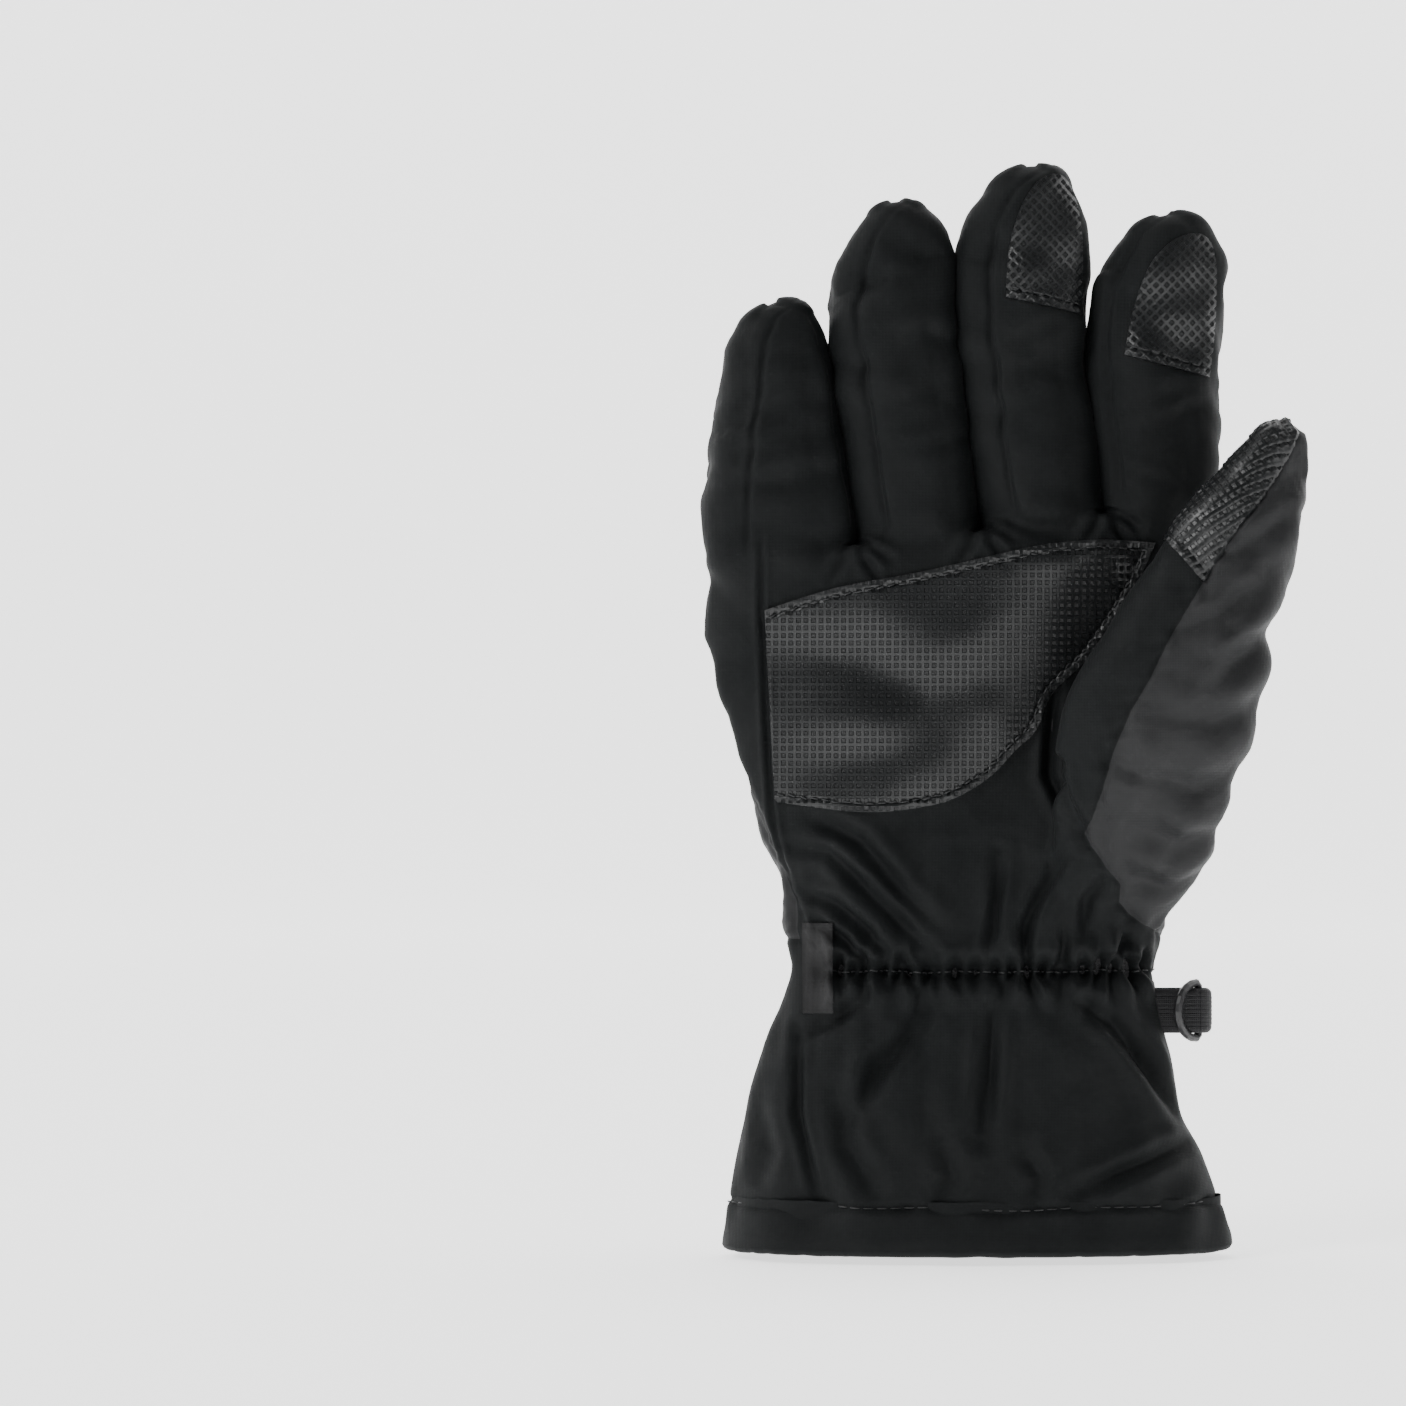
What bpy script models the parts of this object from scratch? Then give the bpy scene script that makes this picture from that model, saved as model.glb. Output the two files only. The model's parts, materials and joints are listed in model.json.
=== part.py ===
"""Right-hand ski glove, standing upright on its cuff.

Frame: +Z runs from the cuff hem to the fingertips, the palm faces -Y and the thumb is on +X.
The origin is at the middle of the bottom of the bounding box. Lengths are in millimetres
until the last step, where MM turns them into metres.
"""
import math

import bmesh
import bpy
from mathutils import Vector

MM = 0.001

# --- driving dimensions, in millimetres and degrees -------------------------------------------
HAND_LEAN = 7.5            # the fingers lean away from the thumb by this much
THUMB_LEAN = -15.0
SHELL = 1.2                # outer fabric with its backing
GAP = 0.5                  # clearance between layers
SEAM = 1.6                 # clearance between the back and the palm panels at the sides
INSULATION = 2.0
LINING = 1.4
PATCH = 0.9                # grip patch
PATCH_GAP = 0.5            # clearance under it
TIP_DROP = 1.7             # how much further than at its sides a lining lies inside a fingertip
TIP_INSET = 1.1            # extra room round a lining in a tapering fingertip
BULGE = 2.4                # exponent of the rounded cross-sections

WRIST_Z = 69.0             # height of the wrist hinge
WRIST_GAP = 4.8            # half of the gap that the wrist needs to bend
KNUCKLE_T = 188.0          # distance of the knuckle hinge along the leaning hand
KNUCKLE_ROOM = 1.4         # further room that the palm leaves below the knuckles
JOINT_GAP = 2.9            # half of the gap at each finger hinge
FINGER_Y = 1.0             # middle of a finger
FINGER_FRONT = 14.0
FINGER_BACK = 15.0
FINGER_HINGE_Y = -9.0
THUMB_Y = -27.5
THUMB_FOOT = (37.0, 104.0) # x and z of the thumb's lowest cross-section
THUMB_SWING_STATION = 17.0 # from the thumb's foot to the hinge that it swings on
THUMB_HINGE_AHEAD = 6.0    # the tip hinge lies this far in front of the thumb's middle
THUMB_BASE_ROOM = 0.07     # between the thumb's fixed base and its swinging part, as a share
THUMB_TIP_STATION = 72.0   # from the thumb's base to its tip hinge

HEM_HEIGHT = 11.0
HEM_SHELL = 3.2            # the folded edge is twice as thick as the panels
CUFF_START = 0.245         # where the cuff's panels start above the hem, as a share of the cuff

WEBBING_WIDTH = 10.0
WEBBING_THICK = 1.1
RING_WIRE = 1.1            # radius
RING_HALF = 7.4            # half of the D's straight bar
RING_BAR = (51.4, 0.0, 62.6)
RING_REST = 228.0          # direction in which the D's bow points at rest, from +X

# --- cross-sections: x, y, z, half width, front depth, back depth, lean ------------------------
CUFF_KEYS = (
    (-8.5, 0.0, 0.0, 67.0, 26.0, 28.0, 0.0),
    (-9.3, 0.0, 15.0, 64.0, 25.0, 27.0, 0.0),
    (-11.5, 0.0, 35.0, 58.0, 22.0, 24.0, 0.0),
    (-10.0, 0.0, 66.0, 52.5, 18.0, 20.0, 0.0),
)
HAND_KEYS = (
    (-9.5, 0.0, 72.0, 53.0, 17.0, 20.0, 0.0),
    (-8.0, 1.0, 97.0, 53.0, 16.0, 22.0, 1.0),
    (-11.0, 1.0, 122.0, 61.0, 15.0, 24.0, 3.0),
    (-12.0, 1.0, 155.0, 66.0, 14.0, 23.0, 6.0),
    (-13.0, 1.0, 188.0, 66.5, 14.0, 17.0, 7.5),
)

# each finger in the leaning frame: (along, left side, right side) from the knuckle to the tip
FINGERS = {
    "little_finger": {
        "keys": ((188.0, -53.5, -16.4), (218.0, -51.0, -16.4), (236.0, -45.5, -17.0),
                 (248.0, -39.5, -19.0)),
        "tip": (257.8, -28.5), "joint": 221.0, "patch": None,
    },
    "ring_finger": {
        "keys": ((188.0, -15.2, 17.2), (238.0, -15.2, 17.2), (262.0, -12.5, 17.2),
                 (274.0, -5.5, 16.0)),
        "tip": (280.9, 6.5), "joint": 236.0, "patch": None,
    },
    "middle_finger": {
        "keys": ((188.0, 18.4, 50.4), (240.0, 18.6, 50.6), (268.0, 22.5, 51.2),
                 (280.0, 29.5, 50.2)),
        "tip": (286.2, 42.0), "joint": 239.0, "patch": (0.22, 0.94, 205.0, 295.0),
    },
    "index_finger": {
        "keys": ((188.0, 51.6, 78.5), (208.0, 51.6, 81.6), (231.0, 52.5, 86.8),
                 (250.0, 57.0, 90.5), (261.0, 63.0, 89.5)),
        "tip": (268.5, 77.5), "joint": 220.0, "patch": (0.20, 0.94, 215.0, 325.0),
    },
}
# along the thumb from its base: station, sideways offset, half width, front, back
THUMB_KEYS = (
    (0.0, -2.5, 20.0, 10.5, 10.5),
    (25.0, -6.5, 24.0, 12.5, 12.0),
    (50.0, -7.0, 23.0, 12.5, 11.5),
    (78.0, -3.0, 18.0, 12.0, 11.5),
    (104.0, 2.5, 12.5, 11.0, 11.0),
    (114.0, 5.0, 8.5, 8.5, 8.5),
)
THUMB_TIP = (122.0, 6.0)

COLOURS = {
    "grey_woven": ((0.058, 0.061, 0.065), 0.62),
    "black_softshell": ((0.008, 0.010, 0.011), 0.78),
    "grip_film": ((0.013, 0.015, 0.016), 0.42),
    "black_elastic": ((0.010, 0.010, 0.011), 0.85),
    "fleece": ((0.020, 0.020, 0.022), 0.95),
    "insulation": ((0.55, 0.55, 0.53), 0.95),
    "black_webbing": ((0.012, 0.012, 0.013), 0.70),
    "black_plastic": ((0.012, 0.012, 0.013), 0.35),
    "label_fabric": ((0.010, 0.010, 0.010), 0.60),
}

for old in list(bpy.data.objects):
    bpy.data.objects.remove(old, do_unlink=True)

glove = bpy.data.collections.new("ski_glove")
bpy.context.scene.collection.children.link(glove)


def make_material(name):
    """A plain material of the given colour and roughness."""
    colour, roughness = COLOURS[name]
    material = bpy.data.materials.new(name)
    material.use_nodes = True
    shader = material.node_tree.nodes["Principled BSDF"]
    shader.inputs["Base Color"].default_value = (*colour, 1.0)
    shader.inputs["Roughness"].default_value = roughness
    shader.inputs["Metallic"].default_value = 0.0
    return material


MATERIALS = {name: make_material(name) for name in COLOURS}


def add_object(name, data, material):
    """Puts a new object with its material into the glove's collection."""
    piece = bpy.data.objects.new(name, data)
    data.materials.append(MATERIALS[material])
    glove.objects.link(piece)
    return piece


def blend_keys(keys, v):
    """The cross-section at v, from 0 at the first key to 1 at the last, on a smooth curve."""
    place = max(0.0, min(v, 1.0)) * (len(keys) - 1)
    i = min(int(place), len(keys) - 2)
    f = place - i
    a, b, c, d = (keys[max(0, min(k, len(keys) - 1))] for k in (i - 1, i, i + 1, i + 2))
    return tuple(
        0.5 * (2 * q + (r - p) * f + (2 * p - 5 * q + 4 * r - s) * f * f
               + (3 * q - p - 3 * r + s) * f ** 3)
        for p, q, r, s in zip(a, b, c, d)
    )


def section_point(section, angle, outset=0.0, shift=0.0):
    """A point on a cross-section: angle 0 is its +X side, 90 its back, 270 its palm side.

    shift moves a back panel's side edges back, or a palm panel's forward when it is negative.
    """
    x, y, z, half, front, back, lean = section
    lean = math.radians(lean)
    turn = math.radians(angle)
    c, s = math.cos(turn), math.sin(turn)
    depth = (back if s >= 0 else front) + outset
    across = (half + outset) * math.copysign(abs(c) ** (2 / BULGE), c)
    ahead = (depth - abs(shift)) * math.copysign(abs(s) ** (2 / BULGE), s) + shift
    return (x + across * math.cos(lean), y + ahead, z + across * math.sin(lean))


def mesh_from_grid(name, rows, closed=False, pole=None):
    """An open surface through rows of points, with a last point that closes its end."""
    mesh = bpy.data.meshes.new(name)
    work = bmesh.new()
    grid = [[work.verts.new(Vector(p) * MM) for p in row] for row in rows]
    if rows[0] is rows[-1]:
        grid[-1] = grid[0]
    count = len(rows[0])
    steps = count if closed else count - 1
    for low, high in zip(grid, grid[1:]):
        for i in range(steps):
            j = (i + 1) % count
            work.faces.new((low[i], low[j], high[j], high[i]))
    if pole:
        top = work.verts.new(Vector(pole) * MM)
        for i in range(steps):
            work.faces.new((grid[-1][i], grid[-1][(i + 1) % count], top))
    for loose in [v for v in work.verts if not v.link_faces]:
        work.verts.remove(loose)
    work.to_mesh(mesh)
    work.free()
    return mesh


def thicken(piece, thickness, offset=-1.0):
    """Gives an open surface its thickness, inwards by default."""
    solid = piece.modifiers.new("thickness", "SOLIDIFY")
    solid.thickness = thickness * MM
    solid.offset = offset
    solid.use_even_offset = False
    solid.use_rim = True


def steps_between(start, end, count):
    """Evenly spaced values, both ends included."""
    return [start + (end - start) * i / count for i in range(count + 1)]


def shell(name, keys, span, angles, thickness, material, inset=0.0, rows=6, columns=10,
          tip=None):
    """A panel or tube that follows keys from span[0] to span[1] and from angle to angle."""
    closed = angles == (0, 360)
    shift = 0.0 if closed else math.copysign(SEAM / 2, math.sin(math.radians(sum(angles) / 2)))
    turns = steps_between(*angles, columns)
    if closed:
        turns = turns[:-1]
    grid = [
        [section_point(blend_keys(keys, v), a, -inset, shift) for a in turns]
        for v in steps_between(*span, rows)
    ]
    pole = None
    if tip:
        lean = math.radians(keys[-1][6])
        drop = TIP_DROP * inset
        pole = (tip[0] + drop * math.sin(lean), tip[1] + shift, tip[2] - drop * math.cos(lean))
    piece = add_object(name, mesh_from_grid(name, grid, closed, pole), material)
    thicken(piece, thickness)
    piece.data.shade_smooth()
    return piece


def patch(name, keys, low, high, angles, material, rows=6, columns=10):
    """A thin patch on the outside of a panel. low and high are heights that may vary across."""
    turns = steps_between(*angles, columns)
    grid = []
    for r in steps_between(0.0, 1.0, rows):
        row = []
        for i, turn in enumerate(turns):
            across = i / columns
            bottom, top = low(across), high(across)
            section = blend_keys(keys, bottom + (top - bottom) * r)
            row.append(section_point(section, turn, PATCH_GAP, -SEAM / 2))
        grid.append(row)
    piece = add_object(name, mesh_from_grid(name, grid), material)
    thicken(piece, PATCH, offset=1.0)
    piece.data.shade_smooth()
    return piece


def leaning(along, across, lean=HAND_LEAN):
    """World x and z of a point given along and across the leaning hand."""
    turn = math.radians(lean)
    x = across * math.cos(turn) - along * math.sin(turn)
    z = across * math.sin(turn) + along * math.cos(turn)
    return x, z


BACK = (0, 180)
PALM = (180, 360)
ROUND = (0, 360)


def make_cuff():
    """The gauntlet that stays on the wrist: the fixed part of the glove."""
    top = (WRIST_Z - WRIST_GAP) / CUFF_KEYS[-1][2]
    cuff = "black_softshell"
    shell("cuff_back_panel", CUFF_KEYS, (CUFF_START, top), BACK, SHELL, cuff, 0.0, 6, 12)
    shell("cuff_palm_panel", CUFF_KEYS, (CUFF_START, top), PALM, SHELL, cuff, 0.0, 6, 12)
    inset = SHELL + GAP
    shell("cuff_lining", CUFF_KEYS, (CUFF_START, 0.64), ROUND, LINING, "fleece", inset + 0.6, 5, 24)
    shell("wrist_elastic", CUFF_KEYS, (0.89, top - 0.01), PALM, 1.2, "black_elastic",
          inset + 0.6, 2, 12)
    turns = steps_between(*ROUND, 32)[:-1]
    loops = [
        [section_point(CUFF_KEYS[0][:2] + (z,) + CUFF_KEYS[0][3:], a, outset) for a in turns]
        for z, outset in ((0.0, 0.0), (HEM_HEIGHT - 1.5, -1.1), (HEM_HEIGHT - 1.5, -HEM_SHELL - 1.1),
                          (0.0, -HEM_SHELL))
    ]
    add_object("hem_binding", mesh_from_grid("hem_binding", loops + loops[:1], True), cuff)


def make_hand():
    """The hand's shell, insulation, lining and palm patch."""
    low = (WRIST_Z + WRIST_GAP - HAND_KEYS[0][2]) / 25.0 / 4
    high = 1.0 - (JOINT_GAP + KNUCKLE_ROOM) / 33.0 / 4
    shell("hand_back_panel", HAND_KEYS, (low, high), BACK, SHELL, "grey_woven", 0.0, 8, 14)
    shell("hand_palm_panel", HAND_KEYS, (low, high), PALM, SHELL, "black_softshell", 0.0, 8, 14)
    inset = SHELL + GAP + 0.3
    shell("hand_insulation", HAND_KEYS, (low + 0.02, high - 0.01), BACK, INSULATION,
          "insulation", inset, 7, 14)
    inset += INSULATION + GAP
    shell("hand_lining", HAND_KEYS, (low + 0.02, high - 0.01), ROUND, LINING, "fleece",
          inset, 7, 24)

    def lower_edge(across):
        rise = max(0.0, across - 0.45) / 0.55
        return 0.47 + 0.36 * rise ** 1.3

    patch("palm_grip_patch", HAND_KEYS, lower_edge, lambda across: 0.87, (204, 308),
          "grip_film", 6, 14)
    rows = []
    for v in steps_between(low + 0.005, 0.135, 2):
        section = blend_keys(HAND_KEYS, v)
        rows.append([section_point(section, a, PATCH_GAP, -SEAM / 2) for a in (209, 215, 221)])
    label = add_object("wrist_label", mesh_from_grid("wrist_label", rows), "label_fabric")
    thicken(label, 0.6, offset=1.0)


def finger_keys(finger):
    """Cross-sections of a finger, from its sides in the leaning frame."""
    keys = []
    slim = (1.0, 0.98, 0.95, 0.90, 0.78)
    lasts = len(finger["keys"]) - 1
    for i, (along, left, right) in enumerate(finger["keys"]):
        x, z = leaning(along, (left + right) / 2)
        depth = slim[i] if i < lasts else 0.72
        keys.append((x, FINGER_Y, z, (right - left) / 2, FINGER_FRONT * depth,
                     FINGER_BACK * depth, HAND_LEAN))
    return keys


def share(finger, along):
    """Where a distance along the finger lies between its first and its last key, 0 to 1."""
    stations = [key[0] for key in finger["keys"]]
    for i, (a, b) in enumerate(zip(stations, stations[1:])):
        if along <= b:
            return (i + (along - a) / (b - a)) / (len(stations) - 1)
    return 1.0


def make_digit(name, keys, split, tip, grip):
    """One finger or the thumb: a lower and an upper length, each of two panels and a lining.

    split holds the four stations where the lower length starts and ends and where the upper
    length starts and ends. grip is a patch's lowest and highest station and its two angles.
    """
    outer_back = "grey_woven"
    outer_palm = "black_softshell"
    inset = SHELL + GAP + 0.3
    lower, upper = split[:2], split[2:]
    shell(f"{name}_lower_back", keys, lower, BACK, SHELL, outer_back, 0.0, 3, 8)
    shell(f"{name}_lower_palm", keys, lower, PALM, SHELL, outer_palm, 0.0, 3, 8)
    shell(f"{name}_lower_lining", keys, lower, ROUND, LINING, "fleece", inset, 3, 16)
    shell(f"{name}_upper_back", keys, upper, BACK, SHELL, outer_back, 0.0, 4, 8, tip)
    shell(f"{name}_upper_palm", keys, upper, PALM, SHELL, outer_palm, 0.0, 4, 8, tip)
    shell(f"{name}_upper_lining", keys, upper, ROUND, LINING, "fleece", inset + TIP_INSET, 4, 16,
          tip)
    if grip:
        start = split[2] + (1 - split[2]) * grip[0]
        end = split[2] + (1 - split[2]) * grip[1]
        patch(f"{name}_grip_patch", keys, lambda across: start, lambda across: end, grip[2:],
              "grip_film", 4, 6)


def make_fingers():
    """Four fingers, side by side in the leaning frame so that they curl past each other."""
    for name, finger in FINGERS.items():
        keys = finger_keys(finger)
        joint = finger["joint"]
        split = (
            share(finger, KNUCKLE_T + JOINT_GAP),
            share(finger, joint - JOINT_GAP),
            share(finger, joint + JOINT_GAP),
            1.0,
        )
        x, z = leaning(*finger["tip"])
        make_digit(name, keys, split, (x, FINGER_Y, z), finger["patch"])


def thumb_place(station, across):
    """World x and z of a point along and across the thumb."""
    x, z = leaning(station, across, THUMB_LEAN)
    return THUMB_FOOT[0] + x, THUMB_FOOT[1] + z


def make_thumb():
    """The thumb, in front of the hand's edge, with a grip patch on its inner side."""
    keys = []
    for station, across, half, front, back in THUMB_KEYS:
        x, z = thumb_place(station, across)
        keys.append((x, THUMB_Y, z, half, front, back, THUMB_LEAN))
    thumb = {"keys": THUMB_KEYS}
    split = (
        share(thumb, THUMB_SWING_STATION),
        share(thumb, THUMB_TIP_STATION - JOINT_GAP),
        share(thumb, THUMB_TIP_STATION + JOINT_GAP),
        1.0,
    )
    shell("thumb_base_panel", keys, (0.0, split[0] - THUMB_BASE_ROOM), PALM, SHELL,
          "grey_woven", 0.0, 2, 8)
    x, z = thumb_place(*THUMB_TIP)
    make_digit("thumb", keys, split, (x, THUMB_Y, z), (0.10, 0.92, 200.0, 262.0))


def to_mesh(curve_object, material):
    """Turns a bevelled curve into a mesh with its caps joined."""
    graph = bpy.context.evaluated_depsgraph_get()
    mesh = bpy.data.meshes.new_from_object(curve_object.evaluated_get(graph))
    work = bmesh.new()
    work.from_mesh(mesh)
    bmesh.ops.remove_doubles(work, verts=work.verts, dist=0.00001)
    work.to_mesh(mesh)
    work.free()
    name = curve_object.name
    place = curve_object.matrix_world.copy()
    bpy.data.objects.remove(curve_object, do_unlink=True)
    mesh.materials.clear()
    piece = add_object(name, mesh, material)
    piece.matrix_world = place
    return piece


def make_ring():
    """The plastic D-ring: a straight bar and a bow, swinging on the bar."""
    curve = bpy.data.curves.new("d_ring", "CURVE")
    curve.dimensions = "3D"
    curve.bevel_depth = RING_WIRE * MM
    curve.bevel_resolution = 2
    turn = math.radians(RING_REST)
    points = [(0.0, -RING_HALF + 1.0), (0.0, RING_HALF - 1.0)]
    points += [
        (1.0 + (RING_HALF + 0.6) * math.cos(math.radians(a)),
         RING_HALF * math.sin(math.radians(a)))
        for a in steps_between(90, -90, 12)
    ]
    spline = curve.splines.new("POLY")
    spline.points.add(len(points) - 1)
    for point, (out, up) in zip(spline.points, points):
        point.co = (out * math.cos(turn) * MM, out * math.sin(turn) * MM, up * MM, 1.0)
    spline.use_cyclic_u = True
    ring = add_object("d_ring", curve, "black_plastic")
    ring.location = Vector(RING_BAR) * MM
    bpy.context.view_layer.update()
    to_mesh(ring, "black_plastic")


def make_webbing():
    """The folded ribbed webbing that holds the D-ring's bar to the cuff's side."""
    bar_x, bar_y, bar_z = RING_BAR
    inner = RING_WIRE + 0.4
    middle = inner + WEBBING_THICK / 2
    start = 43.6
    path = [(start, bar_y - middle)]
    path += [
        (bar_x + middle * math.cos(math.radians(a)), bar_y + middle * math.sin(math.radians(a)))
        for a in steps_between(-90, 90, 10)
    ]
    path.append((start, bar_y + middle))
    rows = [[(x, y, z) for x, y in path]
            for z in (bar_z - WEBBING_WIDTH / 2, bar_z + WEBBING_WIDTH / 2)]
    web = add_object("ring_webbing", mesh_from_grid("ring_webbing", rows), "black_webbing")
    thicken(web, WEBBING_THICK, offset=0.0)


def add_body(name, parent, place):
    """An empty on a body's joint axis, which its pieces and the bodies beyond it follow."""
    empty = bpy.data.objects.new(name, None)
    empty.empty_display_size = 0.01
    glove.objects.link(empty)
    attach(empty, parent)
    empty.matrix_world.translation = Vector(place) * MM
    bpy.context.view_layer.update()
    return empty


def attach(piece, parent):
    """Parents a piece without moving it."""
    if parent:
        piece.parent = parent
        piece.matrix_parent_inverse = parent.matrix_world.inverted()


def make_bodies():
    """The tree of moving bodies, each with its origin on its joint."""
    root = add_body("glove_root", None, (0.0, 0.0, 0.0))
    hand = add_body("hand_body", root, (HAND_KEYS[0][0], 0.0, WRIST_Z))
    bodies = {"d_ring": add_body("d_ring_body", root, RING_BAR)}
    for name, finger in FINGERS.items():
        _, left, right = finger["keys"][0]
        x, z = leaning(KNUCKLE_T, (left + right) / 2)
        lower = add_body(f"{name}_lower_body", hand, (x, FINGER_HINGE_Y, z))
        x, z = leaning(finger["joint"], (left + right) / 2)
        upper = add_body(f"{name}_upper_body", lower, (x, FINGER_HINGE_Y, z))
        bodies.update({f"{name}_lower": lower, f"{name}_upper": upper,
                       f"{name}_grip_patch": upper})
    x, z = thumb_place(THUMB_SWING_STATION, 0.0)
    lower = add_body("thumb_lower_body", hand, (x, THUMB_Y, z))
    x, z = thumb_place(THUMB_TIP_STATION, 0.0)
    upper = add_body("thumb_upper_body", lower, (x, THUMB_Y - THUMB_HINGE_AHEAD, z))
    bodies.update({"thumb_lower": lower, "thumb_upper": upper, "thumb_grip_patch": upper})
    for start in ("hand_", "palm_grip_patch", "wrist_label", "thumb_base_panel"):
        bodies[start] = hand
    for piece in [item for item in glove.objects if item.type == "MESH"]:
        owners = [body for start, body in bodies.items() if piece.name.startswith(start)]
        attach(piece, owners[0] if owners else root)
    return root


def centre_on_origin(root):
    """Moves the whole glove so that the bottom middle of its bounding box is the origin."""
    graph = bpy.context.evaluated_depsgraph_get()
    corners = []
    for piece in glove.objects:
        if piece.type == "MESH":
            shown = piece.evaluated_get(graph)
            corners += [shown.matrix_world @ vertex.co for vertex in shown.data.vertices]
    middle = [(min(c[i] for c in corners) + max(c[i] for c in corners)) / 2 for i in range(2)]
    root.location -= Vector((*middle, min(c.z for c in corners)))
    bpy.context.view_layer.update()


make_cuff()
make_hand()
make_fingers()
make_thumb()
make_ring()
make_webbing()
centre_on_origin(make_bodies())
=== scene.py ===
"""Looks of the ski glove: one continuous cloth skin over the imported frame, cut into its panels.

Lengths in the shape tables are millimetres in the frame's own axes; MM turns them into metres.
The palm faces -Y, the thumb is on +X and the glove stands on its hem at z = 0.
"""
import json
import math

import bmesh
import bpy
import numpy as np
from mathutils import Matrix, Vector
from mathutils.bvhtree import BVHTree
from mathutils.kdtree import KDTree


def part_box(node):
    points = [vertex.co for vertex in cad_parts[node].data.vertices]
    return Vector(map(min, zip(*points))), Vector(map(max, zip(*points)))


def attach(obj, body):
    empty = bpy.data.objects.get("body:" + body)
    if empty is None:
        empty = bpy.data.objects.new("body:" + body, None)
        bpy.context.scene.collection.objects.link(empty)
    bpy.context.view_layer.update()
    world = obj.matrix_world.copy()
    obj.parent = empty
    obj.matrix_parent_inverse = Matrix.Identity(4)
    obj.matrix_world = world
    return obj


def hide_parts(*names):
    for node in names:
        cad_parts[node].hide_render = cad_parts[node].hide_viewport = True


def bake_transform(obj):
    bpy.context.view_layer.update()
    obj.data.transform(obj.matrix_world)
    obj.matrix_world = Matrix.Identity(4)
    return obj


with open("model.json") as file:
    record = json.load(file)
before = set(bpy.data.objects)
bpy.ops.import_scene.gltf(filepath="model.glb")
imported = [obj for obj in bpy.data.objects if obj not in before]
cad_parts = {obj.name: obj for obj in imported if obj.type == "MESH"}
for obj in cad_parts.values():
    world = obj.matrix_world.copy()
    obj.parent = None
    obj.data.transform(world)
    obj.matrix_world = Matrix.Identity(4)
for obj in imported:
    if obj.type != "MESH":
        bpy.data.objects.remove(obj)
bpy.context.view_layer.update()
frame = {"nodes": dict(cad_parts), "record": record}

MM = 0.001
JOINTS = {joint["name"]: joint for joint in frame["record"]["behaviour"]["joints"]}

# --- the frame's own places, in millimetres ----------------------------------------------------
LEAN = math.atan2(JOINTS["ring_finger_knuckle"]["axis"][2], JOINTS["ring_finger_knuckle"]["axis"][0])
THUMB_LEAN = math.atan2(JOINTS["thumb_bend"]["axis"][2], JOINTS["thumb_bend"]["axis"][0])


def hinge(name):
    """A hinge's place in millimetres."""
    return np.array(JOINTS[name]["pos_m"]) / MM


THUMB_BASE = hinge("thumb_swing")
FINGERS = ("little_finger", "ring_finger", "middle_finger", "index_finger")
FINGER_Y = (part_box("ring_finger_lower_back")[1][1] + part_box("ring_finger_lower_palm")[0][1]) / 2 / MM
PALM_Y = FINGER_Y - 13.5


def along_across(x, z, lean=LEAN, origin=(0.0, 0.0)):
    """Distances along and across a leaning finger or thumb."""
    c, s = math.cos(lean), math.sin(lean)
    dx, dz = x - origin[0], z - origin[1]
    return dz * c - dx * s, dx * c + dz * s


def place(along, across, lean=LEAN, origin=(0.0, 0.0)):
    """World x and z of a point along and across a leaning finger or thumb."""
    c, s = math.cos(lean), math.sin(lean)
    return origin[0] + across * c - along * s, origin[1] + across * s + along * c


KNUCKLE = along_across(*hinge("ring_finger_knuckle")[[0, 2]])[0]
BENDS = {name: along_across(*hinge(name + "_bend")[[0, 2]])[0] for name in FINGERS}
THUMB_BEND = along_across(*hinge("thumb_bend")[[0, 2]], THUMB_LEAN, THUMB_BASE[[0, 2]])[0]

# --- outlines: stations along each tube with its left side, right side, front and back depth ---
BODY = (   # z, left, right, front, back of the cuff and the hand
    (-12, -79.0, 63.0, 27.5, 29.5),
    (0, -77.0, 59.5, 26.5, 28.0),
    (12, -74.5, 56.5, 25.0, 27.0),
    (24, -72.5, 52.0, 23.5, 25.5),
    (36, -70.0, 46.6, 21.5, 23.5),
    (50, -67.0, 44.2, 19.0, 21.0),
    (62, -62.8, 42.0, 17.0, 19.0),
    (72, -61.5, 42.4, 16.2, 18.0),
    (84, -62.0, 45.0, 15.2, 18.5),
    (97, -60.8, 47.0, 14.5, 20.0),
    (108, -66.5, 49.0, 14.0, 21.0),
    (120, -70.6, 51.0, 13.5, 22.0),
    (135, -73.5, 54.0, 13.5, 22.5),
    (150, -76.6, 56.0, 13.5, 22.0),
    (165, -79.0, 58.0, 13.5, 21.0),
)
TOP = (    # the same above, in the leaning frame: along, left, right, front, back
    (172, -59.5, 76.5, 13.5, 19.0),
    (182, -58.0, 77.5, 13.5, 16.5),
    (190, -56.5, 78.5, 12.0, 14.0),
)
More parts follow.
